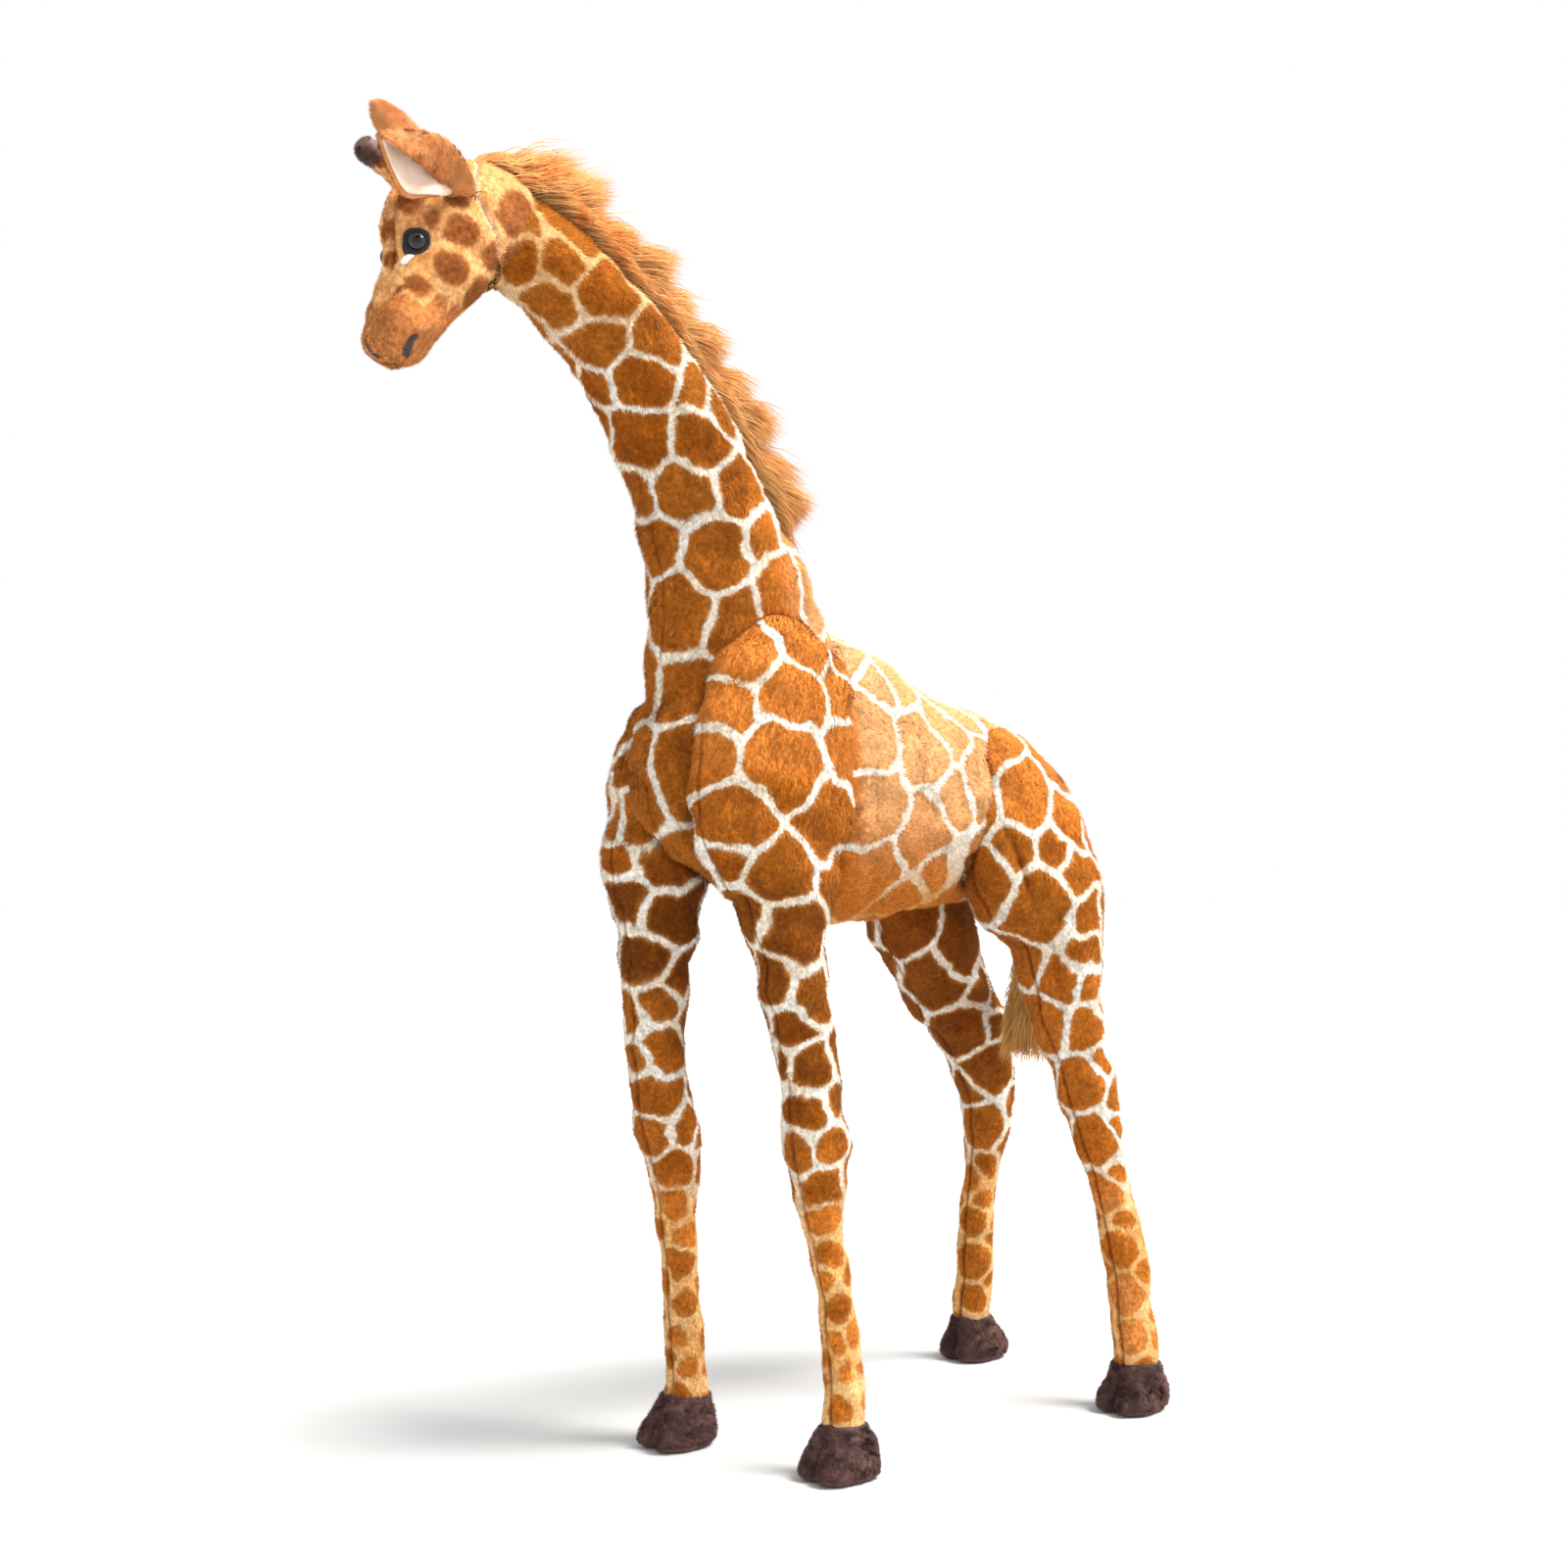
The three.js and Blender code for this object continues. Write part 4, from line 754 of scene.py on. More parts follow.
# ---- trunk: body with the foot of the neck, and the upper neck --------------------------------------------------------------
torso_V, torso_R, torso_T, _, _, _ = rings(place(TORSO), 150, 120, 1.3)
torso_loft = grid_skin(torso_V, -torso_T)
neck_V, neck_R, neck_T, neck_U, neck_W, neck_th = rings(place(NECK), 260, 104, 1.3)
low = neck_R[:, 2] < 612
low_loft = grid_skin(neck_V[low], -neck_T[low])
co, quads, tris = voxelled([torso_loft, low_loft], 2.1, M["felt"])
body = Skin(co, quads, tris, np.zeros_like(co))
z, y = body.co[:, 2], body.co[:, 1]
st = SH - y
down_neck = np.interp(z, neck_R[low][:, 2], -neck_T[low][:, 1]), np.interp(z, neck_R[low][:, 2], -neck_T[low][:, 2])
w_neck = smooth(455, 535, z) * smooth(70, 118, st)
body.flow = (1 - w_neck)[:, None] * np.array([0, 0.85, -0.52]) + w_neck[:, None] * np.stack([np.zeros(len(z)), *down_neck], 1)
body.relax(np.ones(len(z)) * 0.6, 3)
fillet = smooth(440, 490, z) * (1 - smooth(560, 590, z))
body.relax(fillet, 30)

legs = {}
for name, (side, hoof, rows) in LEGS.items():
    last = rows[-1]
    full = list(rows) + [(last[0], last[1], 20, last[3] * 0.93, last[4] * 0.93)]
    V, R, T, U, W, th = rings(place(full, side), 190, 84, 1.2)
    sk = grid_skin(V, T)
    sk.theta = np.concatenate([np.tile(th, len(V)), [0, 0]])
    sk.ring = np.concatenate([np.repeat(R[:, 4], 84), [1, 1]])
    legs[name] = sk

_lump, _fold = field(91, 46), field(92, 17)


def signed(query, skin_, seed=0):
    idx, dist = nearest(skin_.co, query)
    return np.einsum("ij,ij->i", query - skin_.co[idx], skin_.n[idx]), dist


# creases where the legs are sewn to the body
push = np.zeros(len(body.co))
for name, sk in legs.items():
    near = (np.abs(body.co - sk.co.mean(0)) < 140).all(1) & (body.co[:, 2] > 320)
    k = np.nonzero(near)[0]
    d, dist = signed(body.co[k], sk)
    out = np.clip(d, 0, None)
    amt = 4.2 * np.clip(1 - out / 11, 0, 1) ** 2
    push[k] = np.maximum(push[k], amt)
    body.seam[k] = np.maximum(body.seam[k], np.exp(-((np.abs(d) / 2.0) ** 2)))
    inside = d < -4
    body.bare[k[inside]] = 1
body.co = body.co - body.n * push[:, None]
# closing seams: back, belly, chest front
x = body.co[:, 0]
under = smooth(0.2, 0.7, -body.n[:, 2])
gusset = np.exp(-((np.abs(np.abs(x) - 15) / 1.5) ** 2)) * under * (body.co[:, 2] < 420)
front = np.exp(-((x / 1.4) ** 2)) * smooth(0.25, 0.7, -body.n[:, 1])
back = np.exp(-((x / 1.4) ** 2)) * smooth(0.3, 0.8, body.n[:, 2]) * (body.co[:, 2] > 440)
line = np.maximum(np.maximum(gusset, front), back)
body.co = body.co - body.n * (gusset * 0.9 + np.maximum(front, back) * 1.5)[:, None]
body.co = body.co + body.n * (0.8 * _lump(body.co) + 0.3 * _fold(body.co))[:, None]
body.update()
body.seam = np.maximum(body.seam, np.maximum(gusset * 0.45, np.maximum(front, back) * 0.75))

for name, sk in legs.items():
    side, hoof, rows = LEGS[name]
    top = sk.co[:, 2] > 330
    k = np.nonzero(top)[0]
    d, dist = signed(sk.co[k], torso_loft)
    d2, _ = signed(sk.co[k], low_loft)
    d = np.where(sk.co[k][:, 2] > 500, np.minimum(d, d2), d)
    amt = np.zeros(len(sk.co))
    amt[k] = 2.2 * np.clip(1 - np.clip(d, 0, None) / 9, 0, 1) ** 2
    sk.seam[k] = np.exp(-((d / 1.8) ** 2)) * 0.9
    sk.bare[k[d < -3]] = 1
    arc = np.abs((sk.theta - np.pi / 2 + np.pi) % (2 * np.pi) - np.pi) * sk.ring
    groove = np.exp(-((arc / 1.8) ** 2)) * smooth(480, 440, sk.co[:, 2])
    arc2 = np.abs((sk.theta + np.pi / 2 + np.pi) % (2 * np.pi) - np.pi) * sk.ring
    groove2 = np.exp(-((arc2 / 1.5) ** 2)) * smooth(480, 440, sk.co[:, 2])
    sk.co = sk.co - sk.n * (amt + 1.7 * groove + 0.9 * groove2)[:, None]
    small = smooth(260, 160, sk.co[:, 2])
    sk.co = sk.co + sk.n * ((0.9 - 0.4 * small) * _lump(sk.co * 1.15 + 40) + (0.38 - 0.1 * small) * _fold(sk.co + 70))[:, None]
    sk.seam = np.maximum(sk.seam, np.maximum(groove * 0.9, groove2 * 0.55))
    sk.bare = np.maximum(sk.bare, (sk.co[:, 2] < 27).astype(float))
    if name == "hind_left":
        # dart down the outside of the haunch
        pts = np.array([[q[0], SH - q[1], q[2]] for q in [[67, -16, 402], [72, -21, 388], [75.5, -27, 372], [77, -32, 354], [76, -43, 338], [76, -54, 322], [76, -60, 300], [76, -64, 277]]], float)
        dd = resample(np.concatenate([pts, np.zeros((8, 2))], 1), 60)[:, :3]
        i, dist = nearest(dd, sk.co)
        dart = np.exp(-((dist / 2.6) ** 2)) * (0.45 + 0.55 * smooth(345, 362, sk.co[:, 2]))
        sk.co = sk.co - sk.n * (dart * 2.2)[:, None]
        sk.seam = np.maximum(sk.seam, dart)
    sk.update()

plump(body, lambda p: np.clip(np.maximum(np.exp(-((p[:, 0] / 4) ** 2)) * (p[:, 2] > 440), 0) + (p[:, 2] > 604) * 1.0 + (nearest(np.concatenate([s.co[::3] for s in legs.values()]), p)[1] < 6) * 1.0, 0, 1), 5.5, 4.0, 1.8, 0.012)
for name, sk in legs.items():
    plump(sk, lambda p: np.clip((p[:, 2] < 34) * 1.0 + (p[:, 2] > 500) * 1.0, 0, 1), 5.0, 3.0, 1.3, 0.012)

high = (neck_R[:, 2] > 596) & (SH - neck_R[:, 1] < 366)
shrink = 0.5 * (1 - smooth(596, 612, neck_R[high][:, 2]))
Vh = neck_V[high]
Ch = neck_R[high][:, None, :3]
Vh = Ch + (Vh - Ch) * (1 - (shrink / 36))[:, None, None]
neck = grid_skin(Vh, -neck_T[high])
neck.co = neck.co + neck.n * (0.7 * _lump(neck.co) + 0.3 * _fold(neck.co))[:, None]
nth = np.concatenate([np.tile(neck_th, high.sum()), [0, 0]])
throat = np.exp(-((np.abs((nth + np.pi / 2 + np.pi) % (2 * np.pi) - np.pi) * 32 / 1.4) ** 2))
neck.co = neck.co - neck.n * (throat * 0.8)[:, None]
neck.seam = throat * 0.45
neck.update()
neck.bare = smooth(349, 355, SH - neck.co[:, 1])
plump(neck, lambda p: np.clip((p[:, 2] < 604) * 1.0 + (SH - p[:, 1] > 345) * 1.0, 0, 1), 5.0, 3.0, 1.3, 0.012)

trunk_coat = Coat(NECK_SEEDS + TORSO_SEEDS, lambda p: np.interp(p[:, 2], [610, 700], [2.5, 1.5]), lambda p: np.interp(p[:, 2], [500, 640, 720], [2.6, 2.35, 1.9]))
trunk_coat.mirror(5)
trunk_coat.fill(np.concatenate([body.co[body.bare < 0.5], neck.co]), lambda p: np.where(p[:, 2] > 640, 14.5, np.where(p[:, 2] > 500, 19.0, 21.0)), 6, 0.36)


def trunk_attrs(p):
    e, i = trunk_coat(p)
    z = p[:, 2]
    st = SH - p[:, 1]
    tone = np.maximum(smooth(650, 725, z), smooth(395, 350, z))
    # paler barrel and withers: partly a paler print, partly a painted highlight
    barrel = smooth(124, 104, st) * smooth(-80, -50, st) * (0.3 + 0.6 * smooth(345, 435, z) - 0.12 * smooth(470, 505, z))
    withers = smooth(200, 128, st) * smooth(480, 520, z) * smooth(650, 590, z)
    return {"edge": e, "tone": tone, "cell": cell_random(i), "pale": np.clip(0.92 * barrel + 0.72 * withers, 0, 0.9)}


# ---- legs' coats --------------------------------------------------------------------------------------------------------------
leg_coats = {}
for k, name in enumerate(LEGS):
    side, hoof, rows = LEGS[name]
    c = Coat(LEG_SEEDS[name], lambda p: np.interp(p[:, 2], [60, 150, 220, 300], [1.32, 1.36, 1.7, 2.4]), lambda p: np.interp(p[:, 2], [60, 160, 260, 380], [1.35, 1.55, 2.25, 2.6]))
    c.r = np.maximum(c.r, 6.6)
    fronty = name.startswith("front")
    z0 = 215 if fronty else 200
    c.fill(legs[name].co[(legs[name].bare < 0.5) & (legs[name].co[:, 2] > 30)], lambda p, z0=z0: np.interp(p[:, 2], [40, 120, z0, 300, 400], [6.6, 7.6, 11.0, 15.0, 21.0]), 20 + k, 0.32)
    leg_coats[name] = c


def leg_attrs(name):
    hi_, lo_ = (205, 150) if name.startswith("front") else (185, 135)

    def f(p):
        e, i = leg_coats[name](p)
        z = p[:, 2]
        small = smooth(hi_, lo_, z)
        pale = 0.3 * small * smooth(0.35, 0.9, cell_random(i, 3))
        # painted light on the tops of the left shoulder and the left haunch and low on the left hind leg; painted shade
        # down the left front leg, the middle of the right front leg and the right hind leg
        if name == "front_left":
            pale = pale + 0.34 * smooth(412, 440, z) - 0.56 * smooth(392, 352, z) * smooth(190, 240, z)
        elif name == "front_right":
            pale = pale + 0.14 * smooth(385, 410, z) * smooth(435, 420, z) - 0.78 * smooth(388, 362, z) * smooth(285, 315, z)
        elif name == "hind_left":
            pale = pale + 0.34 * smooth(380, 420, z) + 0.16 * smooth(330, 290, z)
        else:
            pale = pale - 0.58 * smooth(170, 230, z)
        return {"edge": e * (1 - 0.25 * small), "tone": small, "cell": cell_random(i, 1), "pale": pale}

    return f


# ---- head -------------------------------------------------------------------------------------------------------------------
HN, HS = ((120, 112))
head_rows = [[r[0], -r[1] + HEAD_AT[1], r[2] + HEAD_AT[2], *r[3:]] for r in HEAD]
tt = np.linspace(0, 1, HN)
head_V, head_R, head_T, head_U, head_W, head_th = rings(head_rows, HN, HS, 0.9, 2.0 + 0.55 * smooth(0.62, 0.85, tt))
# round off the muzzle's end
head = grid_skin(head_V, -head_T)
hrel = lambda p: np.stack([p[:, 0], -(p[:, 1] - HEAD_AT[1]), p[:, 2] - HEAD_AT[2]], 1)
head.relax(smooth(-60, -80, hrel(head.co)[:, 2]), 10)


def along(points, n=80, mirror=False):
    q = np.array(points, float)
    q = resample(np.concatenate([q, np.zeros((len(q), 2))], 1), n)[:, :3]
    if mirror:
        q = q * np.array([-1, 1, 1])
    return np.stack([q[:, 0], -q[:, 1], q[:, 2]], 1) + HEAD_AT


def press(line, depth, width, seam=0.5, bulge=0.0):
    i, dist = nearest(line, head.co)
    g = np.exp(-((dist / width) ** 2))
    b = np.exp(-(((dist - 2.3 * width) / (1.3 * width)) ** 2)) * bulge
    head.co = head.co + head.n * (b - depth * g)[:, None]
    head.seam = np.maximum(head.seam, np.exp(-((dist / (0.75 * width)) ** 2)) * seam)


for mir in (False, True):
    if mir:
        press(along([(-8.6, 74.9, -70.5), (-8.0, 75.2, -73.5), (-6.8, 74.4, -76.5), (-4.8, 73.1, -79.5), (-2.4, 71.3, -82.0)]), 1.5, 2.2, 0.5)
    else:
        press(along([(21.3, 60.7, -71.6), (20.2, 62.9, -73.9), (17.8, 63.8, -76.8), (14.5, 63.3, -79.7), (11, 61.7, -82.3)]), 1.5, 2.2, 0.5)
    press(along([(4.7, 62, 10), (4.7, 66.5, -7.1), (4.6, 66.4, -11.6), (4.3, 66.3, -17.6), (5.3, 66.9, -23.8), (6.7, 67.5, -30.5), (4.5, 69.2, -35.7)], mirror=mir), 2.6, 1.9, 1.0, 0.7)
    press(along([(12.7, 66.4, -43.7), (10.5, 69.3, -48.0), (7.7, 71.8, -51.7), (5.3, 73.4, -54.7)], mirror=mir), 2.1, 1.8, 0.9, 0.6)
press(along([(11, 58, -86), (5, 57.5, -87.5), (0, 57.2, -88), (-5, 57.5, -87.5), (-11, 58, -86)]), 1.2, 1.8, 0.4)
head.update()
# eye sockets, brow and cheek
for side in (1, -1):
    e = head_place(side * 16.6, 59, -19.4)
    d = np.linalg.norm(head.co - e, axis=1)
    head.co = head.co - head.n * (1.6 * np.exp(-((d / 10) ** 2)))[:, None]
    b = head_place(side * 17, 60, -5)
    d = np.linalg.norm(head.co - b, axis=1)
    head.co = head.co + head.n * (1.6 * np.exp(-((d / 9) ** 2)))[:, None]
    c = head_place(side * 24, 33, -30)
    d = np.linalg.norm(head.co - c, axis=1)
    head.co = head.co + head.n * (1.5 * np.exp(-((d / 17) ** 2)))[:, None]
    head.update()

SEAM_Z = np.array([-60, -28.1, -21.6, -13.7, -7.7, 0.5, 10.2, 22.1, 34.5, 44])
SEAM_F = np.array([-2, 7.0, 10.1, 13.2, 16.8, 21.3, 26.7, 23.5, 15.2, 6])


def seam_gap(p):
    h = hrel(p)
    return (h[:, 1] - np.interp(h[:, 2], SEAM_Z, SEAM_F)) * 0.85


g = seam_gap(head.co)
head.co = head.co - head.n * (1.9 * np.exp(-((g / 1.7) ** 2)))[:, None]
head.co = head.co + head.n * (0.35 * _lump(head.co * 1.6) + 0.16 * _fold(head.co * 1.2))[:, None]
head.seam = np.maximum(head.seam, 0.95 * np.exp(-((g / 1.0) ** 2)))
head.bare = 0.55 * smooth(0.55, 0.95, head.seam)
head.update()
plump(head, lambda p: np.clip((hrel(p)[:, 1] < -8) * 1.0 + np.exp(-((seam_gap(p) / 4) ** 2)), 0, 1), 4.5, 2.5, 0.8, 0.0)

head_coat = Coat(HEAD_SEEDS, lambda p: 1.08, lambda p: 1.6, 0.6)
head_coat.mirror(9, 6)
hh = hrel(head.co)
hp = head.co[(seam_gap(head.co) > 4) & (hh[:, 2] > -62) & ((hh[:, 0] < -12) | (hh[:, 1] < 42))]
head_coat.fill(hp, lambda p: np.full(len(p), 7.6), 10, 1.25)


def head_attrs(p):
    g = seam_gap(p)
    e, i = head_coat(p)
    e2, i2 = trunk_coat(p)
    ahead = g > 0
    edge = np.where(ahead, e, e2)
    # pale bands either side of the neck seam
    h = hrel(p)
    edge = np.minimum(edge, np.abs(g) - 1.3 * smooth(-27, -15, h[:, 2]) + 3.0 * smooth(-20, -30, h[:, 2]))
    muzzle = smooth(-43, -62, h[:, 2]) * ahead
    edge = np.where(muzzle > 0.02, np.maximum(edge, -4 + 6.5 * muzzle + 0.8 * _rise(p)), edge)
    tone = np.where(ahead, 0.35 + 0.65 * smooth(0.6, 2.2, g), 0.62 + 0.38 * smooth(0.8, 2.6, -g))
    tone = np.maximum(tone, smooth(-20, -30, h[:, 2]))
    return {"edge": edge, "tone": tone, "cell": cell_random(i, 2), "pale": 0.9 * muzzle * (1 - 0.45 * smooth(0.5, 3.0, e))}


# ---- ears ------------------------------------------------------------------------------------------------------------------
def ear_curve(points, n=48):
    q = np.array(points, float)
    return resample(np.concatenate([q, np.zeros((len(q), 2))], 1), n)[:, :3]


# left ear, from the root to the tip: lower edge, crest of the fold, free edge of the folded flap
ear_L = ear_curve([(21.2, 39.9, 11.2), (29.4, 51.6, 4.0), (36.0, 64.5, -0.8), (38.4, 80.6, -4.3), (43.8, 92.6, 4.8), (49.9, 103.2, 19.0)])
ear_C = ear_curve([(31.4, 29.0, 9.3), (36.4, 37.0, 19.0), (39.4, 47.8, 29.5), (42.0, 59.8, 34.2), (42.4, 75.6, 31.8), (43.8, 91.6, 26.6), (49.9, 103.2, 19.6)])
ear_F = ear_curve([(22.8, 42.9, 7.6), (34.2, 58.6, 10.4), (44.2, 75.4, 12.2), (48.5, 90.4, 15.2), (49.9, 103.2, 19.0)])
ear_D = 0.5 * (ear_L + ear_C) - np.array([0.727, 0.687, 0]) * 11 * np.sin(np.pi * np.linspace(0, 1, 48) ** 0.8)[:, None]
# right ear, pricked up: its two edges
far_l = ear_curve([(-34.2, 30.0, 20.1), (-40.1, 34.6, 34.3), (-44.9, 38.1, 46.9), (-48.1, 40.0, 59.0), (-52.0, 42.6, 69.5), (-53.6, 42.6, 77.2)])
far_r = ear_curve([(-27.4, 22.7, 20.1), (-24.4, 18.0, 34.3), (-26.5, 18.7, 46.9), (-31.6, 22.5, 59.0), (-39.2, 29.1, 70.0), (-49.0, 37.9, 77.8)])


def ear_sheet(sections):
    # one leaf through the rows, smoothed a little across
    S = []
    k = np.array([0, 0.36, 0.7, 0.87, 1.0])
    t = np.linspace(0, 1, 34)
    for q in sections:
        q = np.array(q)
        if np.linalg.norm(q[0] - q[2]) < 1.0:
            q = q + np.linspace(-0.5, 0.5, 5)[:, None] * np.array([0, 0, 0.8])
        S.append(np.stack([np.interp(t, k, q[:, a]) for a in range(3)], 1))
    S = np.array(S)
    for _ in range(10):
        S[:, 1:-1] = S[:, 1:-1] * 0.4 + (S[:, :-2] + S[:, 2:]) * 0.3
        S[1:-1] = S[1:-1] * 0.7 + (S[:-2] + S[2:]) * 0.15
    return S


back = np.array([0.727, 0.687, 0.0])
swell = np.sin(np.pi * np.linspace(0.06, 0.97, 48))[:, None]
ear_S = ear_sheet([[ear_L[i], ear_D[i], ear_C[i], 0.35 * ear_C[i] + 0.65 * ear_F[i] + back * 2.5 * math.sin(math.pi * i / 47), ear_F[i]] for i in range(48)])
ear_far = ear_sheet([[far_l[i], 0.62 * far_l[i] + 0.38 * far_r[i] + back * 7.5 * swell[i], far_r[i] + back * 1.0 * swell[i], 0.25 * far_l[i] + 0.75 * far_r[i] - back * 5.0 * swell[i], 0.45 * far_l[i] + 0.55 * far_r[i] - back * 6.5 * swell[i]] for i in range(48)])


def ear_shell(S, o0, o1, trim):
    # closed thin shell between two offsets of the sheet, in station order
    a, b = trim
    S = S[a : len(S) - a, b : S.shape[1] - b] if (a or b) else S
    du = np.gradient(S, axis=0)
    dv = np.gradient(S, axis=1)
    n = unit(np.cross(du, dv))
    cen = (S[:, 0] + S[:, -1]) / 2
    if (np.einsum("ijk,ijk->ij", n, S - cen[:, None]).mean()) < 0:
        n = -n
    A, B = S + n * o0, S + n * o1
    m, k = S.shape[:2]
    idx = np.arange(m * k).reshape(m, k)
    co = np.concatenate([A.reshape(-1, 3), B.reshape(-1, 3)])
    q = [np.stack([idx[:-1, :-1], idx[1:, :-1], idx[1:, 1:], idx[:-1, 1:]], -1).reshape(-1, 4)]
    q.append(q[0][:, ::-1] + m * k)
    loop = np.concatenate([idx[:, 0], idx[-1, 1:], idx[-2::-1, -1], idx[0, -2:0:-1]])
    nx = np.roll(loop, -1)
    q.append(np.stack([loop, nx, nx + m * k, loop + m * k], 1)[:, ::-1])
    fl = np.tile(np.repeat(unit(np.gradient(S.mean(1), axis=0)), k, axis=0), (2, 1))
    return co, np.concatenate(q), fl


def in_row(q):
    # head-relative [left, forward, up] to the row frame
    return np.stack([q[..., 0], -q[..., 1], q[..., 2]], -1) + HEAD_AT


def settle(ob, body_, nodes=()):
    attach(ob, body_)
    if nodes:
        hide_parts(*nodes)
    return ob


for name, side, sheet in (("left", 1, ear_S), ("right", -1, ear_far)):
    co, q, fl = ear_shell(sheet, 0.0, 1.5, (0, 0))
    flow = fl * np.array([1, -1, 1])
    sk = Skin(in_row(co), q, np.zeros((0, 3), int), flow)
    half = len(co) // 2
    sk.bare[:half] = 0.82
    ob = cloth_of(f"ear_{name}_cloth", sk, plain, M["ear_pile"])
    settle(ob, f"ear_{name}", [f"ear_{name}_back"])
    ob = pile(f"ear_{name}_fur", sk, 9000, 300 + side, plain, M["ear_pile"], (2.2, 3.4), 0.55, 26)
    settle(ob, f"ear_{name}")
    co, q, fl = ear_shell(sheet, -1.1, -0.2, (1, 1))
    sk = Skin(in_row(co), q, np.zeros((0, 3), int), np.zeros_like(co) + [0, 0, 1])
    ob = cloth_of(f"ear_{name}_inner", sk, plain, M["lining"])
    settle(ob, f"ear_{name}", [f"ear_{name}_lining"])

# ---- horns -------------------------------------------------------------------------------------------------------------------
for name, base, tip in (("left", (10.5, 52, 6), (11.5, 87, 25)), ("right", (-10.5, 48, 10), (-9.5, 54, 36.5))):
    b, t = head_place(*base), head_place(*tip)
    d = unit(t - b)
    L = np.linalg.norm(t - b)
    b0 = b - d * 3
    prof = [(0, 7.4), (3, 6.6), (7, 5.9), (0.55 * L, 5.2), (L - 3, 4.9), (L + 1, 4.2)]
    rows = [[*(b0 + d * h), r, r] for h, r in prof]
    V, R, T, U, W, th = rings(rows, 30, 30, 0.3)
    sk = grid_skin(V, T)
    sk.bare = smooth(L - 1, L + 2, (sk.co - b) @ d)
    ob = cloth_of(f"horn_{name}_cloth", sk, lambda p: {"edge": -4 + 5.2 * np.clip(_rise(p * 0.9) - 0.4, 0, 1.2), "tone": np.ones(len(p)), "cell": np.full(len(p), 0.4)}, M["head_cloth"])
    settle(ob, "head", [f"horn_{name}"])
    ob = pile(f"horn_{name}_fur", sk, 3200, 320 + len(name), lambda p: {"edge": -4 + 5.2 * np.clip(_rise(p * 0.9) - 0.4, 0, 1.2), "tone": np.ones(len(p)), "cell": np.full(len(p), 0.4)}, M["head_pile"], (1.8, 2.6), 0.5, 26)
    settle(ob, "head")
    prof = [(L - 7.5, 3.4), (L - 6.5, 4.4), (L - 3.5, 5.0), (L + 0.5, 5.2), (L + 3.0, 4.4), (L + 4.4, 2.6), (L + 4.8, 0.9)]
    rows = [[*(b + d * h), r, r] for h, r in prof]
    V, R, T, U, W, th = rings(rows, 24, 30, 0.0, least=0.8)
    sk = grid_skin(V, T)
    ob = cloth_of(f"horn_{name}_knob", sk, plain, M["tip"])
    settle(ob, "head", [f"horn_tip_{name}"])
    ob = pile(f"horn_{name}_knob_fur", sk, 4200, 330 + len(name), plain, M["tip"], (1.6, 2.8), 0.5, 60, wild=0.9)
    settle(ob, "head")

# ---- eyes, felts, stitches ------------------------------------------------------------------------------------------------------
head_tree = BVHTree.FromPolygons([Vector(c) for c in head.co], [list(map(int, t)) for t in head.tri])


def on_head(p, off):
    out = []
    for q in np.atleast_2d(p):
        loc, nrm, _, _ = head_tree.find_nearest(Vector(q))
        out.append(np.array(loc) + np.array(nrm) * off)
    return np.array(out)


def felt_patch(name, outline, side, off, thick, mat, node):
    q = np.array(outline, float) * np.array([side, 1, 1])
    q = np.stack([q[:, 0], -q[:, 1], q[:, 2]], 1) + HEAD_AT
    q = np.concatenate([q, q[:1]])
    loop = resample(np.concatenate([q, np.zeros((len(q), 2))], 1), 49)[:-1, :3]
    c = loop.mean(0)
    tiers = [0.02, 0.3, 0.6, 0.82, 0.95, 1.0]
    top = np.concatenate([on_head(c + (loop - c) * t, off + thick * (1 if t < 0.95 else 0.8 if t < 1 else 0.45)) for t in tiers])
    bot = np.concatenate([on_head(c + (loop - c) * t, off - 0.5) for t in tiers])
    m, k = len(tiers), 48
    idx = np.arange(m * k).reshape(m, k)
    nx = np.roll(idx, -1, axis=1)
    a = np.stack([idx[:-1], nx[:-1], nx[1:], idx[1:]], -1).reshape(-1, 4)
    rim_ = np.stack([idx[-1], nx[-1], nx[-1] + m * k, idx[-1] + m * k], 1)
    co = np.concatenate([top, bot, top[:k].mean(0)[None], bot[:k].mean(0)[None]])
    t1 = np.stack([np.full(k, 2 * m * k), nx[0], idx[0]], 1)
    t2 = np.stack([np.full(k, 2 * m * k + 1), idx[0] + m * k, nx[0] + m * k], 1)
    sk = Skin(co, np.concatenate([a, a[:, ::-1] + m * k, rim_]), np.concatenate([t1, t2]), np.zeros_like(co))
    ob = new_object(name, sk.co, sk.quads, sk.tris, mat)
    outward(ob)
    return settle(ob, "head", [node])


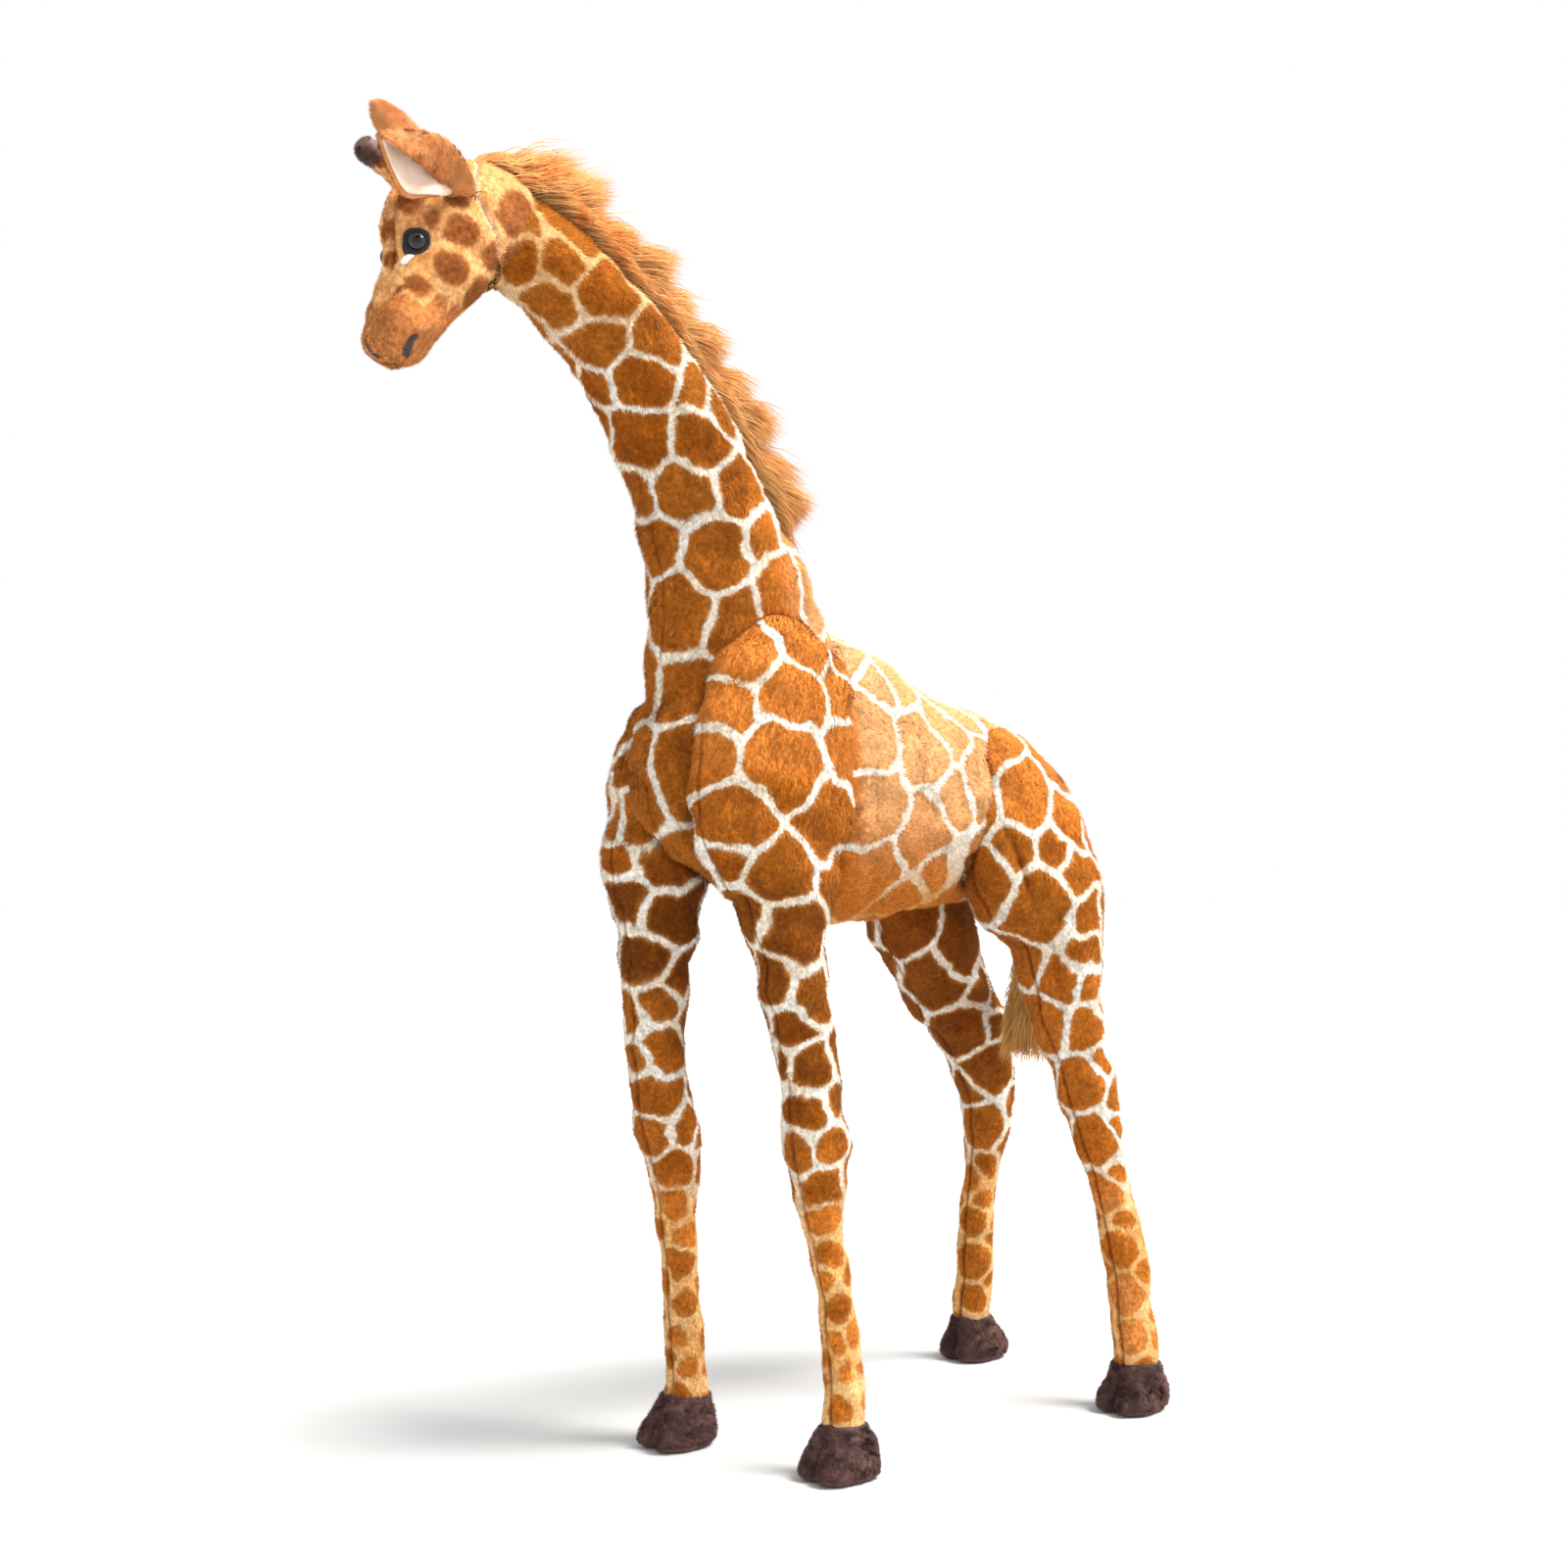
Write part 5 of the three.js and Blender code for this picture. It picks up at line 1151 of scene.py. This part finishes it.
FELT = [(10.1, 63.5, -15.6), (10.4, 64.0, -20.0), (10.8, 63.9, -24.3), (12.9, 62.8, -26.8), (16.2, 59.3, -26.2), (19.6, 54.4, -23.6), (20.8, 53.0, -19.0), (20.4, 53.4, -14.7), (18.6, 56.0, -12.4), (15.2, 60.0, -12.0), (11.9, 62.5, -12.9)]
CORNER = [(10.7, 65.4, -31.0), (11.9, 64.8, -32.4), (13.6, 63.3, -32.0), (14.9, 61.8, -29.8), (16.2, 60.0, -27.2), (14.0, 62.2, -26.6), (12.0, 63.8, -28.2)]
for name, side in (("left", 1), ("right", -1)):
    # the right eye is sewn a little further back than the left
    sh = np.array([0.0, 0.0, 0.0] if side > 0 else [3.0, -6.2, 0.0])
    felt_patch(f"eye_{name}_felt_patch", np.array(FELT) + sh, side, 0.9, 0.7, M["felt"], f"eye_felt_{name}")
    felt_patch(f"eye_{name}_pale_corner", np.array(CORNER) + sh, side, 1.1, 0.7, M["white_felt"], f"eye_corner_{name}")
    c, d = head_place(side * (16.6 + sh[0]), 59 + sh[1], -19.4), unit(np.array([side * (0.78 if side > 0 else 0.95), -0.62 if side > 0 else -0.28, 0.08]))
    base = on_head(c, 1.0 if side > 0 else 0.2)[0]
    prof = [(-2.2, 4.2), (-0.6, 4.9), (0.0, 5.15), (0.5, 5.2)] + [(0.6 + 3.6 * math.sin(a), 5.1 * math.cos(a)) for a in np.linspace(0.08, 1.5, 16)] + [(4.21, 0.05)]
    s_ = unit(np.cross(d, [0, 0, 1.0]))
    o_ = np.cross(s_, d)
    th = np.linspace(0, 2 * np.pi, 48, endpoint=False)
    V = np.array([base + d * h + r * (np.cos(th)[:, None] * s_ + np.sin(th)[:, None] * o_) for h, r in prof])
    sk = grid_skin(V, np.repeat(d[None], len(prof), 0))
    ring = np.concatenate([np.repeat([r / 5.2 for h, r in prof], 48), [1, 0]])
    ob = new_object(f"eye_{name}_dome", sk.co, sk.quads, sk.tris, M["eye"], {"ring": ring})
    settle(ob, "head", [f"eye_{name}"])

NOSE = [(21.3, 60.7, -71.6), (20.2, 62.9, -73.9), (17.8, 63.8, -76.8), (14.5, 63.3, -79.7), (11, 61.7, -82.3)]


def threads(name, ends, radius, mat, body_, nodes=()):
    # each thread a short arched cord between two points on the head
    co, quads, tris, at = [], [], [], 0
    th = np.linspace(0, 2 * np.pi, 6, endpoint=False)
    for a, b, lift in ends:
        t = np.linspace(0, 1, 7)
        P_ = a + (b - a) * t[:, None]
        P_ = np.array([on_head(q, 0.25 + lift * math.sin(math.pi * u) ** 0.7)[0] for q, u in zip(P_, t)])
        T, U, W = frames(P_)
        V = P_[:, None] + radius * (np.cos(th)[None, :, None] * U[:, None] + np.sin(th)[None, :, None] * W[:, None])
        s = grid_skin(V, T)
        co.append(s.co)
        quads.append(s.quads + at)
        tris.append(s.tris + at)
        at += len(s.co)
    ob = new_object(name, np.concatenate(co), np.concatenate(quads), np.concatenate(tris), mat)
    return settle(ob, body_, nodes)


FAR_NOSE = [(-8.6, 74.9, -70.5), (-8.0, 75.2, -73.5), (-6.8, 74.4, -76.5), (-4.8, 73.1, -79.5), (-2.4, 71.3, -82.0)]
for name, side in (("left", 1), ("right", -1)):
    q = along(NOSE if side > 0 else FAR_NOSE, 26)
    T = unit(np.gradient(q, axis=0))
    ends = []
    for i in range(1, 25):
        nrm = unit(q[i] - on_head(q[i], -3)[0])
        acr = unit(np.cross(T[i], nrm))
        w = 1.75 * math.sin(math.pi * (i + 1.5) / 28) ** 0.5
        ends.append((q[i] - acr * w, q[i] + acr * w, 1.0))
    threads(f"nostril_{name}_stitches", ends, 0.36, M["thread"], "head", [f"nostril_{name}"])
knot = [head_place(*p) for p in ((30.6, 30.5, 12.5), (31.0, 27.0, 8.5), (31.4, 25.0, 13.5), (30.4, 31.5, 8.8))]
threads("ear_root_stitches", [(knot[0], knot[1], 1.6), (knot[2], knot[3], 1.9)], 0.4, M["thread"], "head")


def bend_body(ob):
    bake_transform(ob)
    return ob


TW, TA = np.array([0, SH - 215, 636.0]), np.array([0, -0.567, 0.8237])


def bend_neck(ob):
    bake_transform(ob)
    return ob


ob = bend_body(cloth_of("body_cloth", body, trunk_attrs, M["plush_cloth"]))
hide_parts("torso_skin", "neck_lower_skin")
zz = body.co[:, 2]
neckpart = smooth(470, 480, zz)
lo_part = 1 - neckpart
left = (body.co[:, 0] > 0).astype(float)
bend_body(pile("body_pile_left", body, 48500, 401, trunk_attrs, M["plush_pile"], weight=lo_part * left, wild=0.26))
bend_body(pile("body_pile_right", body, 48500, 402, trunk_attrs, M["plush_pile"], weight=lo_part * (1 - left), wild=0.26))
bend_body(pile("neck_foot_pile", body, 48500, 403, trunk_attrs, M["plush_pile"], weight=neckpart, wild=0.26))

ob = bend_neck(cloth_of("neck_cloth", neck, trunk_attrs, M["plush_cloth"]))
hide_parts("neck_upper_skin")
bend_neck(pile("neck_pile", neck, 46000, 404, trunk_attrs, M["plush_pile"], wild=0.26))

ob = settle(cloth_of("head_cloth", head, head_attrs, M["head_cloth"]), "head", ["head_skin"])
settle(pile("head_pile_fur", head, 46000, 405, head_attrs, M["head_pile"], (2.0, 3.0), 0.52, 30, wild=0.4), "head")

for k, name in enumerate(LEGS):
    sk = legs[name]
    b = "leg_" + name

    def bend_leg(ob):
        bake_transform(ob)
        return ob

    ob = bend_leg(cloth_of(f"leg_{name}_cloth", sk, leg_attrs(name), M["plush_cloth"]))
    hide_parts(f"leg_{name}_skin")
    bend_leg(pile(f"leg_{name}_pile", sk, 48500, 410 + k, leg_attrs(name), M["plush_pile"], (2.8, 3.9), 0.62, 32, shape=lambda p: 0.72 + 0.28 * smooth(120, 300, p[:, 2])))

# ---- stuffing inside the sewn cloth, as soft white fibre bodies ------------------------------------------------------------------
def filling(name, rows, body_, nodes, inset, lo_z=-1e9, hi_z=1e9, n=60, seg=36, place_=True, cover=None, ends=0, give=None):
    V, R, T, U, W, th = rings(place(rows) if place_ is True else rows, n, seg, inset, least=1.5)
    V = V[(R[:, 2] > lo_z) & (R[:, 2] < hi_z)]
    if ends:
        V = V[ends:-ends]
    sk = grid_skin(V, T[: len(V)])
    sk.co = sk.co + sk.n * (0.35 * _fold(sk.co))[:, None]
    sk.update()
    for _ in range(3 if cover is not None else 0):
        idx, dist = nearest(cover.co, sk.co)
        d = np.einsum("ij,ij->i", sk.co - cover.co[idx], cover.n[idx])
        sk.co = sk.co - cover.n[idx] * np.clip(d + 3.6, 0, 12)[:, None]
    sk.update()
    ob = new_object(name, sk.co, sk.quads, sk.tris, M["fibre"])
    if not give:
        return settle(ob, body_, nodes)
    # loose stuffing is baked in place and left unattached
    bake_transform(ob)
    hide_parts(*nodes)
    return ob


filling("torso_fibre", TORSO, "torso", ["torso_stuffing"], 12.0, n=90, cover=body, ends=4)
filling("neck_lower_fibre", NECK, "neck_lower", ["neck_lower_stuffing"], 10.0, 506, 630, 120, give=("torso", "neck_lower", (0, 0, 0.51), (0, 0, 0.59)))
filling("neck_upper_fibre", [r for r in NECK if r[1] >= 215][:-1], "neck_upper", ["neck_upper_stuffing"], 6.0, 641, 1e9, 80)
filling("head_fibre", [head_rows[i] for i in range(len(head_rows))], "head", ["head_stuffing"], 6.5, place_=False, cover=head, ends=5)
for name, (side, hoof, rows) in LEGS.items():
    last = rows[-1]
    full = [[side * r[0], SH - r[1], *r[2:]] for r in list(rows) + [(last[0], last[1], 20, last[3], last[4])]]
    filling(f"leg_{name}_fibre", full, f"leg_{name}", [f"leg_{name}_stuffing"], 6.0, 36, 430 if name.startswith("front") else 392, 90, 28, False, legs[name], give=("torso", f"leg_{name}", *(((0, 0, 0.44), (0, 0, 0.33)) if name.startswith("front") else ((0, 0, 0.41), (0, 0, 0.30)))))
    hx, hf = hoof
    solid_rows = [[side * (hx + (last[0] - hx) * mx), SH - (hf + (last[1] - hf) * mx), z_, a_, b_] for z_, a_, b_, mx in ((5, 10, 12, 0), (7, 14.5, 16, 0), (12, 14, 15.5, 0.15), (20, 11.5, 12, 0.5), (25, 10.5, 10.5, 0.75))]
    filling(f"hoof_{name}_fibre", solid_rows, f"leg_{name}", [f"hoof_{name}_stuffing"], 1.0, place_=False, n=24)

# ---- hooves -------------------------------------------------------------------------------------------------------------------
for k, (name, (side, (hx, hf), rows)) in enumerate(LEGS.items()):
    last = rows[-1]
    rx, rf = last[0], last[1]
    rr = max(13.9, last[3] + 0.3)
    prof = [(34, 0.84, 0.84, 1), (32.6, 0.96, 0.96, 1), (31, 1.0, 1.0, 0.98), (28, 1.04, 1.05, 0.9), (24, None, None, 0.7), (18, None, None, 0.4), (11, None, None, 0.1), (6, None, None, 0), (3, None, None, 0), (1.2, None, None, 0), (0.45, None, None, 0), (0.4, None, None, 0)]
    fixed = {24: (16.6, 18.4), 18: (18.3, 21.4), 11: (19.6, 23.8), 6: (20.0, 24.4), 3: (19.6, 23.9), 1.2: (18.2, 22.4), 0.45: (15.0, 19.0), 0.4: (7.0, 9.0)}
    seg = 96
    th = np.linspace(0, 2 * np.pi, seg, endpoint=False)
    zs, A, B, MX = [], [], [], []
    for z_, fa, fb, mx in prof:
        a_, b_ = (rr * fa, rr * fb) if fa else fixed[z_]
        zs.append(z_)
        A.append(a_)
        B.append(b_)
        MX.append(mx)
    n = 46
    u = np.linspace(0, 1, len(zs))
    uu = np.linspace(0, 1, n)
    zs, A, B, MX = (np.interp(uu, u, q) for q in (zs, A, B, MX))
    V = []
    for z_, a_, b_, mx in zip(zs, A, B, MX):
        pw = 2.0 + 0.45 * (1 - mx)
        c, s = np.cos(th), np.sin(th)
        c = np.sign(c) * np.abs(c) ** (2 / pw)
        s = np.sign(s) * np.abs(s) ** (2 / pw)
        cleft = np.exp(-(((th - np.pi / 2) / 0.17) ** 2)) * 5.2 * smooth(30, 16, z_)
        toe = 1 + 0.05 * np.exp(-(((np.abs(th - np.pi / 2) - 0.45) / 0.3) ** 2)) * smooth(22, 8, z_)
        cx, cf = hx + (rx - hx) * mx, hf + (rf - hf) * mx
        V.append(np.stack([side * cx + a_ * c * toe, SH - (cf + b_ * s * toe - cleft), np.full(seg, z_)], 1))
    V = np.array(V)
    sk = grid_skin(V, np.repeat(np.array([[0, -0.25, -1.0]]), n, 0))
    keep = sk.co[:, 2] > 1.5
    sk.relax(keep * 0.5, 3)
    wob = 0.35 * _fold(sk.co + 30 * k)
    sk.co = sk.co + sk.n * (wob * keep)[:, None]
    sk.co[:, 2] = np.maximum(sk.co[:, 2], 0.35)
    sk.update()
    front_d = np.abs(sk.co[:, 0] - side * hx)
    sk.seam = np.exp(-((front_d / 1.6) ** 2)) * (sk.co[:, 1] < SH - hf) * smooth(28, 20, sk.co[:, 2]) * 0.9
    sk.seam = np.maximum(sk.seam, 0.8 * np.exp(-(((sk.co[:, 2] - 32.6) / 1.2) ** 2)))
    sk.bare = np.maximum((sk.co[:, 2] < 3.2).astype(float), (sk.co[:, 2] > 32.4).astype(float))
    ob = settle(cloth_of(f"hoof_{name}_cloth", sk, plain, M["hoof"]), f"leg_{name}", [f"hoof_{name}"])
    ob = pile(f"hoof_{name}_pile", sk, 15000, 430 + k, plain, M["hoof"], (2.6, 4.2), 0.62, 52, wild=1.0, shape=lambda p: np.clip((p[:, 2] - 0.5) / 6, 0.35, 1))
    me = ob.data
    c_ = np.empty(len(me.vertices) * 3, np.float32)
    me.vertices.foreach_get("co", c_)
    c_ = c_.reshape(-1, 3)
    c_[:, 2] = np.maximum(c_[:, 2], 0.0003)
    me.vertices.foreach_set("co", c_.ravel())
    me.update()
    settle(ob, f"leg_{name}")

# ---- mane ---------------------------------------------------------------------------------------------------------------------
rm = np.random.default_rng(77)
ridge = [i for i in range(len(neck_R)) if neck_R[i, 2] > 566 and SH - neck_R[i, 1] < 371]
ridge_C, ridge_b, ridge_a = neck_R[ridge][:, :3], neck_R[ridge][:, 4] - 1.2, neck_R[ridge][:, 3] - 1.2
ridge_T, ridge_W = neck_T[ridge], neck_W[ridge]
arc_len = np.concatenate([[0], np.cumsum(np.linalg.norm(np.diff(ridge_C + ridge_W * ridge_b[:, None], axis=0), axis=1))])
total = arc_len[-1]


def mane_strands(count, seed, s0, s1, length, width, spread):
    r = np.random.default_rng(seed)
    s = r.uniform(s0, s1, count) * total
    pick = lambda A: np.stack([np.interp(s, arc_len, A[:, k]) for k in range(A.shape[1])], 1)
    C, T, W = pick(ridge_C), unit(pick(ridge_T)), unit(pick(ridge_W))
    a_, b_ = np.interp(s, arc_len, ridge_a), np.interp(s, arc_len, ridge_b)
    lat = np.clip(r.normal(0, 0.5, count), -1, 1) * spread
    phi = lat / a_
    X = np.array([1.0, 0, 0])
    root = C + (a_ * np.sin(phi))[:, None] * X + (b_ * np.cos(phi))[:, None] * W
    out = unit(np.cos(phi)[:, None] * W + np.sin(phi)[:, None] * X)
    # tufts: neighbours lean together, each tuft in its own way
    pitch = 27.0
    cell = np.floor(s / pitch + 0.35 * np.sin(s / 9.0) + 0.1 * lat)
    cr_ = cell_random(cell, 5)
    cr2 = cell_random(cell, 6)
    cr3 = cell_random(cell, 8)
    mid = (cell + 0.5) * pitch
    toward = (mid - s) / pitch
    peak = np.clip(1 - np.abs(toward) * 1.7, 0, 1)
    bend = unit(out * (0.0 + 0.52 * peak * (0.5 + cr3) + 0.14 * cr2)[:, None] - T * (1.0 + 0.5 * toward)[:, None] + X * ((cr2 - 0.5) * 0.5 + lat * 0.012)[:, None] + r.normal(0, 0.10, (count, 3)))
    start = unit(out * (0.62 + 0.25 * peak)[:, None] - T * 0.62 + X * (np.clip(lat / 7, -1, 1) * 0.32)[:, None] + r.normal(0, 0.12, (count, 3)))
    fade = smooth(0, 26, s - s0 * total) * 0.55 + 0.45 if s0 < 0.5 else np.ones(count)
    L = r.uniform(*length, count) * (0.68 + 0.42 * peak + 0.2 * (cr_ - 0.5)) * fade * (1 - 0.25 * np.abs(lat) / spread)
    shade = np.clip(0.15 + 0.55 * r.uniform(0, 1, count) + 0.45 * (cr3 - 0.5) + 0.2, 0, 1)
    return root, start, bend, L, width * r.uniform(0.7, 1.3, count), shade, s


def mane_core():
    # low padded ridge that the long pile stands on
    V = []
    th = np.linspace(0, 2 * np.pi, 26, endpoint=False)
    idx = range(0, len(ridge), 2)
    for j, i in enumerate(idx):
        e = min(1, j / 5, (len(list(idx)) - 1 - j) / 5)
        c = ridge_C[i] + ridge_W[i] * (ridge_b[i] - 2)
        V.append(c + (7.5 * (0.3 + 0.7 * e)) * np.cos(th)[:, None] * np.array([1.0, 0, 0]) + (7.0 * (0.3 + 0.7 * e)) * np.sin(th)[:, None] * ridge_W[i])
    return grid_skin(np.array(V), -ridge_T[::2][: len(V)])


core = mane_core()
f0 = 0.28
count = int(30000 * (1))
root, start, bend, L, w, shade, s = mane_strands(count, 78, 0.0, 0.95, (38, 50), 1.0, 11.5)
mass = (root - TW) @ TA
cuts = [("mane_foot_pile", mass < -20), ("mane_low_pile", (mass >= -20) & (s < 0.55 * total)), ("mane_high_pile", (mass >= -20) & (s >= 0.55 * total))]
# the ridge under the mane takes the dark of the strands' roots: painted shade
ob = new_object("mane_base", core.co, core.quads, core.tris, M["mane"], {"rnd": np.full(len(core.co), 0.3), "tip": np.full(len(core.co), 0.35), "seam": np.zeros(len(core.co))})
bend_neck(ob)
for i, (nm, sel) in enumerate(cuts):
    ids = np.flatnonzero(sel)
    ids = ids[np.argsort(s[ids], kind="stable")]
    for j, sel in enumerate(np.array_split(ids, max(1, math.ceil(len(ids) / 12000)))):
        ob = hairs(nm if j == 0 else f"{nm}_{j + 1}", root[sel], start[sel], bend[sel], L[sel], w[sel], M["mane"], 500 + 10 * i + j, 3, shade[sel])
        bend_neck(ob)
        if i == 0:
            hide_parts("mane_lower")
        if i == 2:
            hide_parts("mane_upper")
# tuft on the poll, between the ears
root, start, bend, L, w, shade, s = mane_strands(int(3200 * (1)), 79, 0.925, 1.0, (20, 30), 1.0, 7.5)
q = []
for p_ in root:
    loc, nrm, _, _ = head_tree.find_nearest(Vector(p_ + np.array([0, 0, 6])))
    q.append(list(loc))
root = np.where(np.linalg.norm(np.array(q) - root, axis=1)[:, None] < 16, np.array(q), root)
settle(hairs("poll_tuft", root, start, bend, L, w, M["mane"], 503, 3, shade), "head")

# ---- tail ---------------------------------------------------------------------------------------------------------------------
rows = [[0,-124,441,5.0,5.0],[0,-129,437,5.5,5.5],[0,-131,425,6,6],[0,-133,400,6,6],[0,-133.5,360,6,6],[0,-131,322,5.6,5.6],[0,-130.6,314,3.0,3.0]]
V, R, T, U, W, th = rings(place(rows), 90, 32, 0.8)
sk = grid_skin(V, T)
sk.co = sk.co + sk.n * (0.3 * _fold(sk.co))[:, None]
sk.update()
tail_attrs = lambda p: {"edge": 3.4 * np.sin(p[:, 2] / 5.2 + 2.0 * _rise(p * 0.4)) - 0.6, "tone": np.full(len(p), 0.6), "cell": np.full(len(p), 0.5)}
settle(cloth_of("tail_cloth", sk, tail_attrs, M["plush_cloth"]), "tail", ["tail_tube"])
settle(pile("tail_fur", sk, 7000, 450, tail_attrs, M["plush_pile"], (2.2, 3.2), 0.55, 28), "tail")
rt = np.random.default_rng(88)
n = int(5200 * (1))
u = rt.uniform(0, 1, n) ** 0.8
ang = rt.uniform(0, 2 * np.pi, n)
rad = 4.6 * np.sqrt(rt.uniform(0.1, 1, n))
zc = 327 - 62 * u
yc = SH - np.interp(zc, [231, 255, 285, 324], [-120.5, -123, -127, -130.8])
root = np.stack([rad * np.cos(ang), yc + rad * np.sin(ang), zc], 1)
o = np.stack([np.cos(ang), np.sin(ang), np.zeros(n)], 1)
cl = cell_random(np.floor(ang / 0.7) + 13 * np.floor(u * 3), 9)
start = unit(o * 0.75 + np.array([0, 0, -0.8]) + rt.normal(0, 0.1, (n, 3)))
bend = unit(o * (0.10 + 0.25 * cl)[:, None] + np.array([0, -0.1, -1.0]) + rt.normal(0, 0.08, (n, 3)))
settle(hairs("tail_tuft_pile", root, start, bend, rt.uniform(24, 34, n) * (0.85 + 0.25 * cl), np.full(n, 1.05), M["tail"], 504, 3), "tail", ["tail_tuft"])
rows = [[0,-130.6,326,3,3],[0,-130.4,318,5.5,6],[0,-128.5,298,7,8],[0,-126,275,6.5,7],[0,-123.5,255,4,4.5],[0,-122,246,1.5,1.5]]
V, R, T, U, W, th = rings(place(rows), 30, 24, 0.0, least=0.8)
sk = grid_skin(V, T)
# the tuft's core takes the dark of the strands' roots: painted shade
ob = new_object("tail_tuft_base", sk.co, sk.quads, sk.tris, M["tail"], {"rnd": np.full(len(sk.co), 0.2), "tip": np.full(len(sk.co), 0.3), "seam": np.zeros(len(sk.co))})
settle(ob, "tail")

# ---- studio -------------------------------------------------------------------------------------------------------------------
fp = Paint("studio_floor")
fp.shade(fp.mix(fp.ramp(fp.noise(0.9, 2.0), 0.3, 0.7), lin(196, 196, 195), lin(192, 192, 192)), 0.85, 0.1)
me = bpy.data.meshes.new("floor")
S = 12.0
me.from_pydata([(-S, -S, 0), (S, -S, 0), (S, S, 0), (-S, S, 0)], [], [(0, 1, 2, 3)])
me.materials.append(fp.mat)
floor = bpy.data.objects.new("floor", me)
bpy.context.scene.collection.objects.link(floor)

world = bpy.data.worlds.new("studio")
bpy.context.scene.world = world
world.use_nodes = True
bg = world.node_tree.nodes["Background"]
bg.inputs["Color"].default_value = (1.0, 1.0, 1.0, 1)
bg.inputs["Strength"].default_value = 1.0


def sun(name, frm, strength, angle, color):
    d = bpy.data.lights.new(name, "SUN")
    d.energy, d.angle, d.color = strength, angle, color
    o = bpy.data.objects.new(name, d)
    o.rotation_mode = "QUATERNION"
    o.rotation_quaternion = Vector(frm).normalized().to_track_quat("Z", "Y")
    bpy.context.scene.collection.objects.link(o)


sun("key", (0.47, 0.26, 0.87), 7.4, 0.5, (1.0, 0.985, 0.955))
sun("fill", (0.9, -0.8, 0.5), 0.25, 1.2, (1.0, 1.0, 1.0))

cam = bpy.data.cameras.new("camera")
cam.lens, cam.sensor_width, cam.shift_y = 48.375, 36.0, 0.04375
cam.clip_start, cam.clip_end = 0.01, 100
co_ = bpy.data.objects.new("camera", cam)
co_.location = (0.98154, -0.91568, 0.385)
co_.rotation_mode = "QUATERNION"
co_.rotation_quaternion = Vector((0.72696, -0.68668, 0)).to_track_quat("Z", "Y")
bpy.context.scene.collection.objects.link(co_)
bpy.context.scene.camera = co_
bpy.context.scene.view_settings.view_transform = "Standard"
